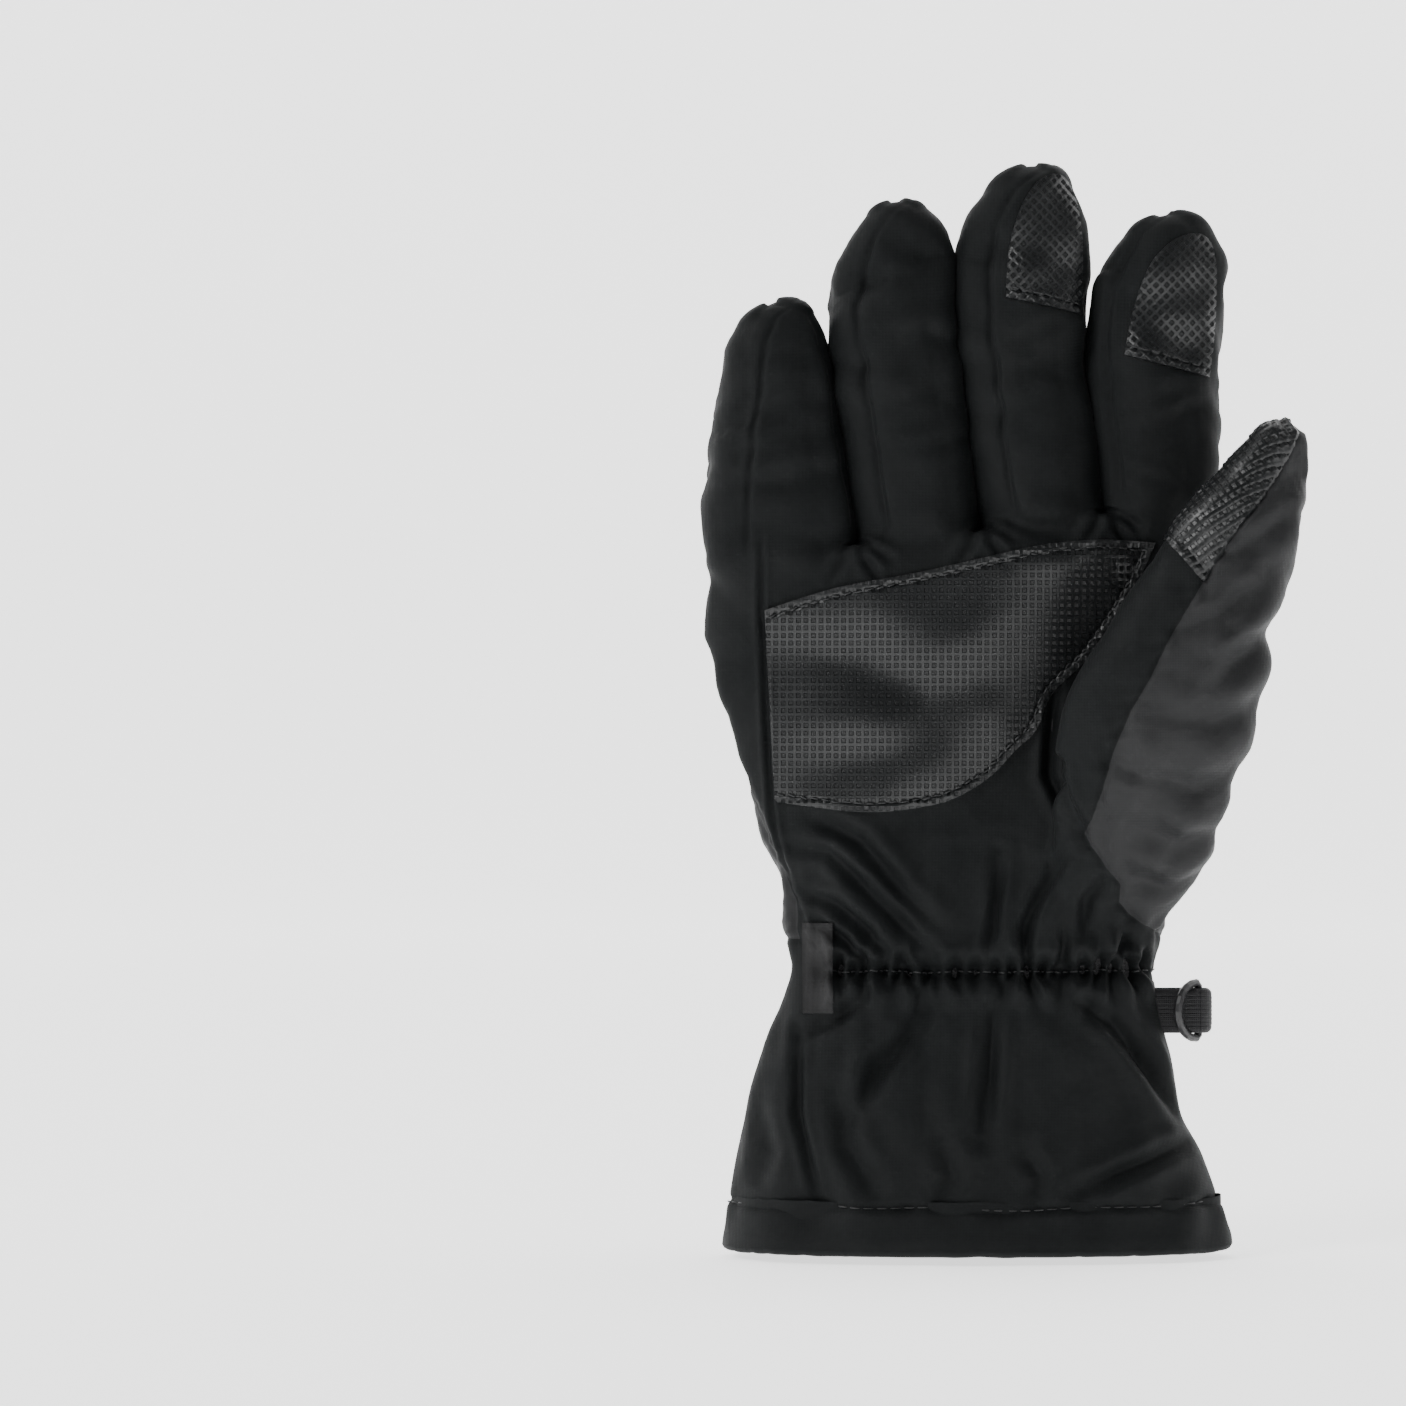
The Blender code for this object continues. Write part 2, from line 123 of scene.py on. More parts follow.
DIGITS = {
    "little_finger": {
        "rings": ((176, -57.5, -16.5), (190, -56.2, -15.5), (205, -54.0, -15.6), (218, -51.4, -16.0),
                  (230, -48.4, -16.0), (240, -45.8, -16.0), (248, -43.0, -16.4), (254, -39.0, -18.4)),
        "tip": (259.0, -28.4),
    },
    "ring_finger": {
        "rings": ((176, -15.6, 17.0), (192, -15.2, 17.6), (215, -15.0, 17.8), (240, -14.8, 17.8),
                  (255, -14.4, 19.0), (265, -11.4, 19.8), (273, -6.4, 18.6), (278, -1.2, 15.4)),
        "tip": (281.0, 7.2),
    },
    "middle_finger": {
        "rings": ((176, 18.6, 50.0), (194, 18.2, 50.4), (214, 18.2, 51.2), (230, 18.4, 50.8),
                  (246, 18.8, 52.8), (262, 20.4, 55.4), (272, 24.2, 55.6), (280, 30.6, 54.0)),
        "tip": (286.4, 44.5),
    },
    "index_finger": {
        "rings": ((176, 51.2, 77.5), (192, 51.2, 78.8), (208, 51.4, 82.0), (222, 52.0, 85.0),
                  (236, 52.8, 88.2), (249, 56.2, 91.0), (257, 60.2, 91.4), (264, 66.4, 88.0)),
        "tip": (268.6, 77.0),
    },
}
DIGIT_FRONT, DIGIT_BACK = 14.2, 15.0
THUMB_RINGS = (   # z, left, right, front and back as y: level rings that grow out of the palm
    (80, 14.0, 40.0, -4.0, 4.0),
    (90, 13.0, 48.0, -7.0, 3.0),
    (100, 12.0, 54.5, -12.5, 0.0),
    (110, 11.5, 57.2, -19.5, -3.0),
    (122, 10.5, 58.6, -27.5, -6.5),
    (135, 11.0, 64.0, -33.0, -9.5),
    (150, 15.0, 66.8, -36.0, -11.0),
    (165, 25.0, 67.8, -37.0, -12.0),
    (178, 34.0, 71.0, -37.0, -12.5),
    (192, 43.5, 75.0, -36.5, -13.0),
    (202, 52.0, 78.2, -35.5, -13.5),
    (212, 60.6, 79.6, -33.5, -15.0),
    (219, 67.0, 79.4, -30.5, -18.0),
)
THUMB_TIP = (74.4, 223.8)
THUMB_TIP_Y = -24.5
BULGE = 2.35               # exponent of the rounded cross-sections
FINGER_ROOM = 1.5          # how far each finger's side lies back from its neighbour's before it swells


# --- the cloth's mesh, its simulation and its layers ----------------------------------------------
SKIN_VOXEL = 1.4
CLOTH_VOXEL = 3.6          # the coarser skin that the simulation runs on
LAYER_VOXEL = 2.4
RELAX_ROUNDS = 10
PAD_INSET = 3.4            # how far the padding and the elastic lie inside the skin
LINING_INSET = 5.2
LAYER_WALL = 0.9           # thickness of the padding and the elastic
CLOTH_FRAMES = 22
HOLD = 0.28                # how firmly the cloth is held to its shape
CLOTH_SETTINGS = {
    "quality": 6, "mass": 0.15, "tension_stiffness": 12, "compression_stiffness": 12,
    "shear_stiffness": 4, "bending_stiffness": 6.0, "use_pressure": True,
    "uniform_pressure_force": 4.0, "vertex_group_mass": "hold", "pin_stiffness": 1.0,
    "vertex_group_shrink": "gather", "shrink_min": -0.03, "shrink_max": 0.14,
}
SIDE_SWELL, LOW_SWELL, TIP_SWELL = 2.15, 0.65, 1.2   # how far the fingers' sides and tips puff out

# --- the wrist, the hem and where the skin is cut and turns ---------------------------------------
ELASTIC_Z = 73.5
ELASTIC_HALF = 5.0
HEM_TOP = 11.5
CUFF_MIDDLE_X = -9         # of the cuff's oval mouth, and its depth for its width
CUFF_FLATNESS = 0.42
HEM_LIP = ((0.5, -0.9), (1.4, -1.4), (2.3, -1.0), (2.8, 0.6), (3.0, 6.0), (3.1, 13.0))   # in and up
CUT_ROOM = 2.5             # from the knuckle hinge to where the fingers' lengths start
FINGER_CUT_BACK = 12.5     # from a finger's bend back to where its lower length ends
THUMB_CUT = THUMB_BEND - 14

# --- the pieces laid on the skin --------------------------------------------------------------------
STITCH_LIFT = 0.4
STITCH_RINGS = ((0, 0.45, -0.15), (0.2, 1.0, 0.1), (0.8, 1.0, 0.1), (1, 0.45, -0.15))  # way, size, rise
SQUARE_PITCH = 2.0         # of the grip film's net
SQUARE_DEPTH = 0.34
PATCH_LIFT = 0.75
PATCH_RIM = 1.5
RAY_START = 300.0          # how far outside the glove the rays that lay a patch on it start
NO_LIMIT = -60.0           # a depth that no part of the skin reaches
HEM_BAND = 2.1             # from a patch's folded edge to its stitching
WEBBING_START = 36.0
WEBBING_WALL = 1.1
RIBS = 9
RIB_HEIGHT = 0.4
LABEL_X = (-55.2, -47.2)
LABEL_Z = (62.5, 86.3)
LABEL_MARGIN = 16          # grid lines added round the label while its ground is smoothed


# --- building the closed body under the skin ---------------------------------------------------
def ramp(x, low, high):
    """0 below low, 1 above high, smooth between."""
    f = np.clip((x - low) / (high - low), 0, 1)
    return f * f * (3 - 2 * f)


def near(distance, width):
    """1 at no distance, falling off like a bell."""
    return np.exp(-(distance / width) ** 2)


def smooth_keys(keys, count):
    """As many rows as count says, on a smooth curve through the keys."""
    keys = np.array(keys, float)
    rows = []
    for v in np.linspace(0, len(keys) - 1, count):
        i = min(int(v), len(keys) - 2)
        f = v - i
        p, q, r, s = (keys[max(0, min(k, len(keys) - 1))] for k in (i - 1, i, i + 1, i + 2))
        rows.append(0.5 * (2 * q + (r - p) * f + (2 * p - 5 * q + 4 * r - s) * f * f
                           + (3 * q - p - 3 * r + s) * f ** 3))
    return np.array(rows)


def ring_points(middle_x, middle_y, middle_z, half, front, back, lean, sides=64):
    """One rounded cross-section as an array of points."""
    turn = np.linspace(0, 2 * np.pi, sides, endpoint=False)
    c, s = np.cos(turn), np.sin(turn)
    across = half * np.sign(c) * np.abs(c) ** (2 / BULGE)
    depth = np.where(s >= 0, back, front) * np.sign(s) * np.abs(s) ** (2 / BULGE)
    return np.stack([middle_x + across * math.cos(lean), middle_y + depth,
                     middle_z + across * math.sin(lean)], axis=1)


def mesh_from(work, name):
    """A mesh made of a bmesh, which is freed."""
    mesh = bpy.data.meshes.new(name)
    work.to_mesh(mesh)
    work.free()
    return mesh


def closed_tube(name, rings, tip=None):
    """A closed mesh through the rings, with a pole at the tip."""
    work = bmesh.new()
    grid = [[work.verts.new(Vector(p) * MM) for p in ring] for ring in rings]
    sides = len(grid[0])
    for low, high in zip(grid, grid[1:]):
        for i in range(sides):
            work.faces.new((low[i], low[(i + 1) % sides], high[(i + 1) % sides], high[i]))
    work.faces.new(grid[0][::-1])
    if tip is None:
        work.faces.new(grid[-1])
    else:
        top = work.verts.new(Vector(tip) * MM)
        for i in range(sides):
            work.faces.new((grid[-1][i], grid[-1][(i + 1) % sides], top))
    return mesh_from(work, name)


def dome_rings(rows, tip_along, tip_across):
    """Adds rings that close a fingertip as a rounded dome."""
    along, left, right = rows[-1][:3]
    extra = []
    for f in (0.35, 0.62, 0.82, 0.94):
        keep = math.sqrt(1 - f * f)
        middle = (left + right) / 2 * (1 - f) + tip_across * f
        half = (right - left) / 2 * keep
        extra.append((along + (tip_along - along) * f, middle - half, middle + half, keep))
    return extra


def digit_rings(name, inset=0.0):
    """Rings of a finger from below its knuckle to its tip, drawn in by inset for inner layers."""
    digit = DIGITS[name]
    rows = smooth_keys(digit["rings"], 34)
    room = FINGER_ROOM * ramp(rows[:, 0], KNUCKLE - 2, KNUCKLE + 6)
    sunk = 3.0 * (1 - ramp(rows[:, 0], KNUCKLE - 12, KNUCKLE + 4))
    rows[:, 1] += np.where(name == "little_finger", sunk, room)
    rows[:, 2] -= np.where(name == "index_finger", sunk, room)
    rows[:, 1] += inset
    rows[:, 2] -= inset
    tip_along, tip_across = digit["tip"]
    tip_along -= inset
    start, end = rows[0][0], tip_along
    rings = []
    slim = [1.0 - 0.26 * ((row[0] - start) / (end - start)) ** 2.6
            - 0.16 * (1 - ramp(row[0], start, KNUCKLE + 10)) for row in rows]
    for (along, left, right), depth in zip(rows, slim):
        x, z = place(along, (left + right) / 2)
        rings.append(ring_points(x, FINGER_Y, z, (right - left) / 2, DIGIT_FRONT * depth - inset,
                                 DIGIT_BACK * depth - inset, LEAN))
    for along, left, right, keep in dome_rings(rows, tip_along, tip_across):
        x, z = place(along, (left + right) / 2)
        front, back = (DIGIT_FRONT * slim[-1] - inset) * keep, (DIGIT_BACK * slim[-1] - inset) * keep
        rings.append(ring_points(x, FINGER_Y, z, (right - left) / 2, front, back, LEAN))
    x, z = place(tip_along, tip_across)
    return rings, (x, FINGER_Y, z)


def body_rings(inset=0.0):
    """Rings of the cuff and the hand, tilting from level to the leaning knuckles."""
    rings = []
    for z, left, right, front, back in smooth_keys(BODY, 60):
        tilt = LEAN * min(max((z - 100) / 75, 0), 1)
        rings.append(ring_points((left + right) / 2, FINGER_Y - 1, z, (right - left) / 2 - inset,
                                 front - inset, back - inset, tilt))
    for along, left, right, front, back in smooth_keys(TOP, 8):
        x, z = place(along, (left + right) / 2)
        rings.append(ring_points(x, FINGER_Y - 1, z, (right - left) / 2 - inset, front - inset,
                                 back - inset, LEAN))
    return rings


def thumb_rings(inset=0.0):
    """Rings of the thumb, tilting to its own lean."""
    rings = []
    for z, left, right, front, back in smooth_keys(THUMB_RINGS, 48):
        tilt = THUMB_LEAN * 0.8 * min(max((z - 150) / 50, 0), 1)
        half_depth = (back - front) / 2 - inset
        rings.append(ring_points((left + right) / 2, (front + back) / 2, z - inset * (z > 200),
                                 (right - left) / 2 - inset, half_depth, half_depth, tilt))
    return rings


def link(piece):
    """Adds a new object to the scene."""
    bpy.context.scene.collection.objects.link(piece)
    return piece


def apply_modifiers(piece):
    """Replaces a piece's mesh by what its modifiers make of it."""
    graph = bpy.context.evaluated_depsgraph_get()
    mesh = bpy.data.meshes.new_from_object(piece.evaluated_get(graph))
    old = piece.data
    piece.modifiers.clear()
    piece.data = mesh
    if old.users == 0:
        bpy.data.meshes.remove(old)


def thicken(piece, thick):
    """Gives a sheet its thickness in millimetres, on its inner side."""
    wall = piece.modifiers.new("wall", "SOLIDIFY")
    wall.thickness = thick * MM
    wall.offset = -1
    apply_modifiers(piece)


def solid_body(name, voxel, inset=0.0):
    """The cuff, hand, fingers and thumb as one remeshed closed body, opened at the hem."""
    work = bmesh.new()
    parts = [closed_tube("body", body_rings(inset))]
    for finger in FINGERS:
        parts.append(closed_tube(finger, *digit_rings(finger, inset)))
    tip = (THUMB_TIP[0], THUMB_TIP_Y, THUMB_TIP[1] - inset)
    parts.append(closed_tube("thumb", thumb_rings(inset), tip))
    for mesh in parts:
        work.from_mesh(mesh)
        bpy.data.meshes.remove(mesh)
    body = link(bpy.data.objects.new(name, mesh_from(work, name)))
    remesh = body.modifiers.new("voxels", "REMESH")
    remesh.mode = "VOXEL"
    remesh.voxel_size = voxel * MM
    remesh.adaptivity = 0.0
    apply_modifiers(body)
    open_mouth(body)
    points = relax(read_points(body.data), neighbours(body.data), RELAX_ROUNDS)
    write_points(body.data, points)
    store_rest(body.data, points)
    return body


# --- fields on the skin: which panel and which body each point belongs to ----------------------
def curve(points):
    """A function through a list of (x, y) points."""
    xs, ys = np.array(sorted(points), float).T
    return lambda x: np.interp(x, xs, ys)


THUMB_SEAM = curve(((97, 30), (109.7, 17), (120.8, 21.9), (132.5, 25), (143, 29.3), (151.7, 34.6),
                    (161, 38.9), (176, 47.8), (186.3, 54.8), (194.7, 61.2), (203, 67.5),
                    (212.8, 73.3), (220, 75), (228, 76)))
THUMB_FOOT = curve(((10, 122), (17, 109.7), (24, 97.5), (34.6, 88), (47.3, 80.7), (60, 76)))
CUFF_SEAM = curve(((-80, 84.3), (-57, 81.6), (40, 70.3), (80, 65.6)))
LITTLE_SIDE = curve(((70, -9), (92, -7), (115, 0), (150, 5.5), (240, 5.5), (300, 3)))
THUMB_SIDE = curve(((70, 0), (110, 2), (135, 8), (260, 9), (300, 6)))
THUMB_START, THUMB_FRONT_Y, THUMB_LEFT_X = 2.0, -8.6, 6.0   # where the thumb's free length begins
THUMB_GREY_Y, THUMB_FOOT_ROOM = -9.0, 34.0     # its grey cloth lies in front, deeper at its foot
INNER_LEFT, INNER_RIGHT = 2.5, 9.5             # height of the seams on the fingers' facing sides
FRONT_SEAMS = np.array((10.8, 7.2, 8.4, 4.8))  # palm-side seams, in from each finger's left side


def digit_sides(along):
    """Left and right sides of the four fingers at each height, as two arrays of four rows."""
    sides = []
    for name in FINGERS:
        digit = DIGITS[name]
        rings = list(digit["rings"]) + [(digit["tip"][0] + 0.1, *[digit["tip"][1]] * 2)]
        rows = np.array(rings, float)
        sides.append([np.interp(along, rows[:, 0], rows[:, k]) for k in (1, 2)])
    sides = np.array(sides)
    return sides[:, 0], sides[:, 1]


def fields(rest):
    """The signed fields that cut the skin, from its rest points in millimetres."""
    x, y, z = rest.T
    along, across = along_across(x, z)
    left, right = digit_sides(along)
    finger = np.sum(across > (right[:-1] + left[1:]) / 2, axis=0)
    rows = np.arange(len(x))
    lo, hi = left[finger, rows], right[finger, rows]
    spread = np.clip((across - (lo + hi) / 2) / np.maximum((hi - lo) / 2, 2.0), -1, 1)
    low_side = np.where(finger == 0, LITTLE_SIDE(z), INNER_LEFT)
    high_side = np.where(finger == 3, THUMB_SIDE(z), INNER_RIGHT)
    seam_finger = low_side + (high_side - low_side) * (spread + 1) / 2
    seam_hand = np.where(across < 0, LITTLE_SIDE(z), THUMB_SIDE(z))
    seam = seam_hand + (seam_finger - seam_hand) * ramp(along, KNUCKLE, KNUCKLE + 8)
    back = np.minimum(y - FINGER_Y - seam, z - CUFF_SEAM(x))
    thumb_room = THUMB_GREY_Y - y + THUMB_FOOT_ROOM * (1 - ramp(z, 106, 122))
    thumb = np.minimum(np.minimum(x - THUMB_SEAM(z), z - THUMB_FOOT(x)), thumb_room)
    station = along_across(x, z, THUMB_LEAN, THUMB_BASE[[0, 2]])[0]
    front_seam = np.abs(across - lo - FRONT_SEAMS[finger])
    little_right = np.where(finger == 0, np.abs(across - hi + 2.4), 99.0)
    seam_here = ramp(along, KNUCKLE + 2, KNUCKLE + 12) * (y < FINGER_Y)
    on_thumb = np.minimum(np.minimum(station - THUMB_START, THUMB_FRONT_Y - y), x - THUMB_LEFT_X)
    return {
        "grey": np.maximum(back, thumb), "back": back, "along": along, "across": across,
        "finger": finger, "thumb": on_thumb, "station": station, "spread": spread,
        "front_seam": np.minimum(front_seam, little_right), "seam_here": seam_here,
    }


def read_array(items, key, width, kind=float):
    """An attribute of a mesh's elements, as an array with width columns."""
    values = np.empty(len(items) * width, kind)
    items.foreach_get(key, values)
    return values.reshape(-1, width)


def read_points(mesh):
    """A mesh's points in millimetres."""
    return read_array(mesh.vertices, "co", 3) / MM


def write_points(mesh, points):
    """Sets a mesh's points from millimetres."""
    mesh.vertices.foreach_set("co", (points * MM).ravel())
    mesh.update()


def read_normals(mesh):
    """A mesh's point normals."""
    return read_array(mesh.vertex_normals, "vector", 3)


def neighbours(mesh):
    """A mesh's edges as an array of point pairs."""
    return read_array(mesh.edges, "vertices", 2, int)


def relax(points, pairs, rounds, second=-0.52):
    """Smooths points towards their neighbours' middle; a negative second step keeps the volume."""
    count = np.bincount(pairs.ravel(), minlength=len(points))[:, None]
    for r in range(rounds):
        total = np.zeros_like(points)
        np.add.at(total, pairs[:, 0], points[pairs[:, 1]])
        np.add.at(total, pairs[:, 1], points[pairs[:, 0]])
        points = points + (total / count - points) * (0.5 if r % 2 == 0 else second)
    return points


def open_mouth(body):
    """Cuts the body level at the hem, which opens the cuff."""
    work = bmesh.new()
    work.from_mesh(body.data)
    bmesh.ops.bisect_plane(work, geom=work.verts[:] + work.edges[:] + work.faces[:],
                           plane_co=(0, 0, 0), plane_no=(0, 0, 1), clear_inner=True,
                           dist=0.0003)
    work.to_mesh(body.data)
    work.free()


def store_rest(mesh, points):
    """Keeps each point's rest place on the mesh, so that later steps can find its panel."""
    attribute = mesh.attributes.new("rest", "FLOAT_VECTOR", "POINT")
    attribute.data.foreach_set("vector", points.ravel())


def read_rest(mesh):
    """The rest places kept by store_rest."""
    return read_array(mesh.attributes["rest"].data, "vector", 3)


def set_weights(body, name, weights):
    """A vertex group with a weight for each point."""
    group = body.vertex_groups.new(name=name)
    steps = np.round(weights * 100).astype(int)
    for step in np.unique(steps):
        group.add(np.nonzero(steps == step)[0].tolist(), step / 100, "REPLACE")


def waves(points, length, seed, count=18, stretch=(1.0, 1.0, 1.0)):
    """Smooth noise of about unit size: a sum of sine waves around one wavelength."""
    rng = np.random.default_rng(seed)
    total = np.zeros(len(points))
    for _ in range(count):
        direction = rng.normal(size=3)
        direction /= np.linalg.norm(direction)
        direction *= np.array(stretch) * 2 * np.pi / (length * rng.uniform(0.7, 1.5))
        total += np.sin(points @ direction + rng.uniform(0, 2 * np.pi))
    return total / math.sqrt(count / 2)


def line_distance(x, z, line):
    """Distance from points to an open line in the x-z plane, and the way along it, 0 to 1."""
    best = np.full(len(x), 1e9)
    way = np.zeros(len(x))
    line = np.array(line, float)
    steps = np.linalg.norm(np.diff(line, axis=0), axis=1)
    total, done = steps.sum(), 0.0
    for (ax, az), (bx, bz), step in zip(line, line[1:], steps):
        f = np.clip(((x - ax) * (bx - ax) + (z - az) * (bz - az)) / step ** 2, 0, 1)
        distance = np.hypot(x - ax - f * (bx - ax), z - az - f * (bz - az))
        nearer = distance < best
        best = np.where(nearer, distance, best)
        way = np.where(nearer, (done + f * step) / total, way)
        done += step
    return best, way


def folds(x, z, table, gain):
    """Soft creases along the lines of a table, each with a raised lip on both sides."""
    total = np.zeros(len(x))
    for line, width, depth in table:
        distance, way = line_distance(x, z, line)
        ends = np.sin(np.pi * np.clip(way, 0.04, 0.96)) ** 0.6
        groove = near(distance, width)
        lip = near(distance - 1.9 * width, 1.1 * width)
        total += depth * gain * ends * (0.45 * lip - groove)
    return total


def drape(body):
    """Lets the skin swell and gather as sewn cloth, held softly to its shape."""
    rest = read_rest(body.data)
    f = fields(rest)
    z = rest[:, 2]
    seam = near(f["grey"], 3.0)
    elastic = near(z - ELASTIC_Z, 5.0) * (rest[:, 1] < FINGER_Y - 3)
    hem = near(z - HEM_TOP, 3.0)
    gather = np.clip(np.maximum(np.maximum(seam, elastic), hem * 0.8), 0, 1)
    set_weights(body, "gather", gather)
    hold = HOLD + 0.1 * gather
    hold[z < 2.5] = 1.0
    set_weights(body, "hold", hold)
    cloth = body.modifiers.new("cloth", "CLOTH")
    for key, value in CLOTH_SETTINGS.items():
        setattr(cloth.settings, key, value)
    cloth.settings.effector_weights.gravity = 0
    cloth.collision_settings.use_collision = False
    cloth.point_cache.frame_start = 1
    cloth.point_cache.frame_end = CLOTH_FRAMES
    scene = bpy.context.scene
    for step in range(1, CLOTH_FRAMES + 1):
        scene.frame_set(step)
    apply_modifiers(body)
    body.vertex_groups.clear()
    scene.frame_set(1)


def carry_over(points, source_rest, source_move):
    """Moves points as the nearest points of a coarser skin moved."""
    tree = KDTree(len(source_rest))
    for i, place_of in enumerate(source_rest):
        tree.insert(place_of, i)
    tree.balance()
    moved = np.zeros_like(points)
    for i, point in enumerate(points):
        closest = tree.find_n(point, 6)
        weights = np.array([1.0 / (item[2] ** 2 + 0.6) for item in closest])
        chosen = [item[1] for item in closest]
        moved[i] = weights @ source_move[chosen] / weights.sum()
    return moved


# --- creases that the cloth sim is too coarse for: lines in x and z, width and depth ------------
BACK_FOLDS = (
    (((-52, 150), (-26, 146), (-1, 147), (20, 144), (45, 143), (57, 139)), 3.4, 1.7),
    (((-46, 158), (-12, 156), (26, 155)), 9.0, 1.5),
    (((-6, 138), (6, 128), (17, 119), (28, 113)), 3.6, 1.2),
    (((40, 128), (45, 132), (52, 126), (56, 118)), 3.0, 1.3),
    (((-10, 115), (3, 108), (11, 96)), 4.6, 1.3),
    (((-26, 133), (-36, 122), (-43, 107)), 4.8, 1.5),
    (((-60, 128), (-50, 116), (-48, 102)), 4.0, 1.1),
    (((30, 112), (42, 108), (52, 100)), 4.2, 1.3),
    (((-23, 87), (-10, 83), (-4, 77)), 3.4, 1.0),
    (((-56, 92), (-46, 84), (-40, 80)), 3.4, 0.9),
    (((-64, 180), (-40, 176), (-14, 181)), 4.5, 0.8),
    (((0, 180), (22, 184), (44, 182)), 5.0, 0.8),
    (((44, 58), (35, 43), (20, 25), (-1, 35)), 3.2, 1.5),
    (((-50, 70), (-41, 64), (-36, 56)), 3.4, 1.3),
    (((-64, 32), (-50, 23), (-38, 15)), 3.4, 1.3),
    (((54, 33), (43, 23), (27, 15)), 3.4, 1.3),
    (((-12, 60), (-16, 44), (-12, 28)), 6.0, 1.0),
)
PALM_FOLDS = (
    (((-53, 116), (-40, 109), (-29, 95), (-20, 87)), 2.3, 1.5),
    (((-58, 108), (-48, 106), (-39, 97), (-31, 89), (-21, 79)), 2.0, 1.6),
    (((-54, 95), (-47, 92), (-40, 86), (-31, 77)), 1.8, 1.5),
    (((-52, 87), (-43, 80), (-37, 75)), 1.5, 1.2),
    (((-3, 106), (-4, 88), (-6, 76)), 1.7, 1.4),
    (((14, 105), (8, 95), (5, 87), (3, 77)), 1.7, 1.4),
    (((24, 98), (21, 93), (20, 80)), 1.7, 1.2),
    (((38, 82), (31, 80), (27, 75)), 1.8, 1.2),
    (((-37, 69), (-46, 61), (-56, 56)), 1.9, 1.3),
    (((-22, 66), (-27, 57), (-35, 49), (-42, 36)), 2.8, 2.1),
    (((-4, 67), (-5, 56), (-6, 44), (-8, 30)), 2.6, 2.2),
    (((16, 68), (28, 59), (39, 46), (47, 34)), 2.2, 1.9),
    (((28, 68), (35, 52), (45, 36)), 2.6, 1.1),
    (((-57, 58), (-57.5, 36), (-52, 13)), 1.3, 1.1),
    (((-47, 42), (-44, 28), (-36, 15)), 3.0, 1.4),
    (((-18, 30), (-16, 20), (-20, 14)), 2.6, 1.2),
    (((4, 27), (8, 20), (6, 14)), 2.4, 1.1),
    (((16, 15), (30, 21), (50, 29)), 2.2, 1.5),
    (((-68, 40), (-66, 26), (-70, 15)), 3.0, 1.2),
    (((-70, 196), (-50, 190), (-30, 196)), 4.0, 1.0),
    (((-6, 194), (14, 190), (36, 196)), 4.0, 0.9),
    (((11.8, 150), (10.2, 126), (17.7, 108)), 1.6, 1.6),
    (((-66, 214), (-65.8, 170), (-63.4, 119), (-60, 102), (-56, 86)), 0.8, 0.8),
    (((-62, 158), (-40, 155), (-22, 146), (-6, 152), (14, 170)), 8.0, 1.3),
    (((-50, 130), (-30, 132), (-12, 138)), 6.0, 0.8),
    (((44, 190), (32, 172), (18, 152), (4, 134), (-16, 116)), 12.0, 2.6),
)
CROTCHES = (-16.0, 17.8, 50.8)          # where neighbouring fingers meet, across the hand
CROTCH_FOLDS = ((-7.5, -9.0), (5.0, -12.0), (9.0, -6.0))   # the pinches that spread from each one
THUMB_FOLDS = (
    (((66, 178), (54, 168), (42, 164)), 2.8, 1.2),
    (((69, 166), (58, 156), (50, 146)), 3.2, 1.3),
    (((66, 146), (52, 140), (38, 142)), 3.6, 1.2),
    (((60, 128), (48, 122), (34, 126)), 3.4, 1.3),
    (((58, 112), (44, 108), (30, 112)), 3.2, 1.1),
    (((74, 196), (66, 190), (58, 184)), 2.4, 0.9),
    (((54, 100), (42, 96), (32, 100)), 3.0, 1.0),
)
FOLD_DEPTH = 1.5
BACK_FOLD_DEPTH = 1.9
FINGER_FOLDS = 3           # soft creases on each side of every finger's bend
GATHERS_X = (-52.0, 44.0)  # from the first to the last ruffle that the elastic draws up


def finger_folds(f, rest, which):
    """Transverse creases round a finger's bend, stronger on the palm side."""
    name = FINGERS[which]
    rng = np.random.default_rng(40 + which)
    bend = BENDS[name]
    total = np.zeros(len(rest))
    palm = rest[:, 1] < FINGER_Y
    for k in range(-FINGER_FOLDS, FINGER_FOLDS + 3):
        for side in (palm, ~palm):
            centre = bend + k * 7.6 + rng.uniform(-2.2, 2.2)
            slope = rng.uniform(-4.0, 4.0)
            width = rng.uniform(1.8, 3.6)
            depth = rng.uniform(0.25, 0.95) * near(k, 4.2)
            shift = rng.uniform(-0.5, 0.5)
            offset = f["along"] - centre - slope * f["spread"] - 1.6 * np.sin(2.4 * f["spread"] + k)
            reach = near(f["spread"] - shift, 0.75)
            groove = near(offset, width)
            lip = near(np.abs(offset) - 1.9 * width, width)
            total += side * depth * reach * (0.4 * lip - groove)
    return total * (f["finger"] == which) * ramp(f["along"], KNUCKLE + 2, KNUCKLE + 14)


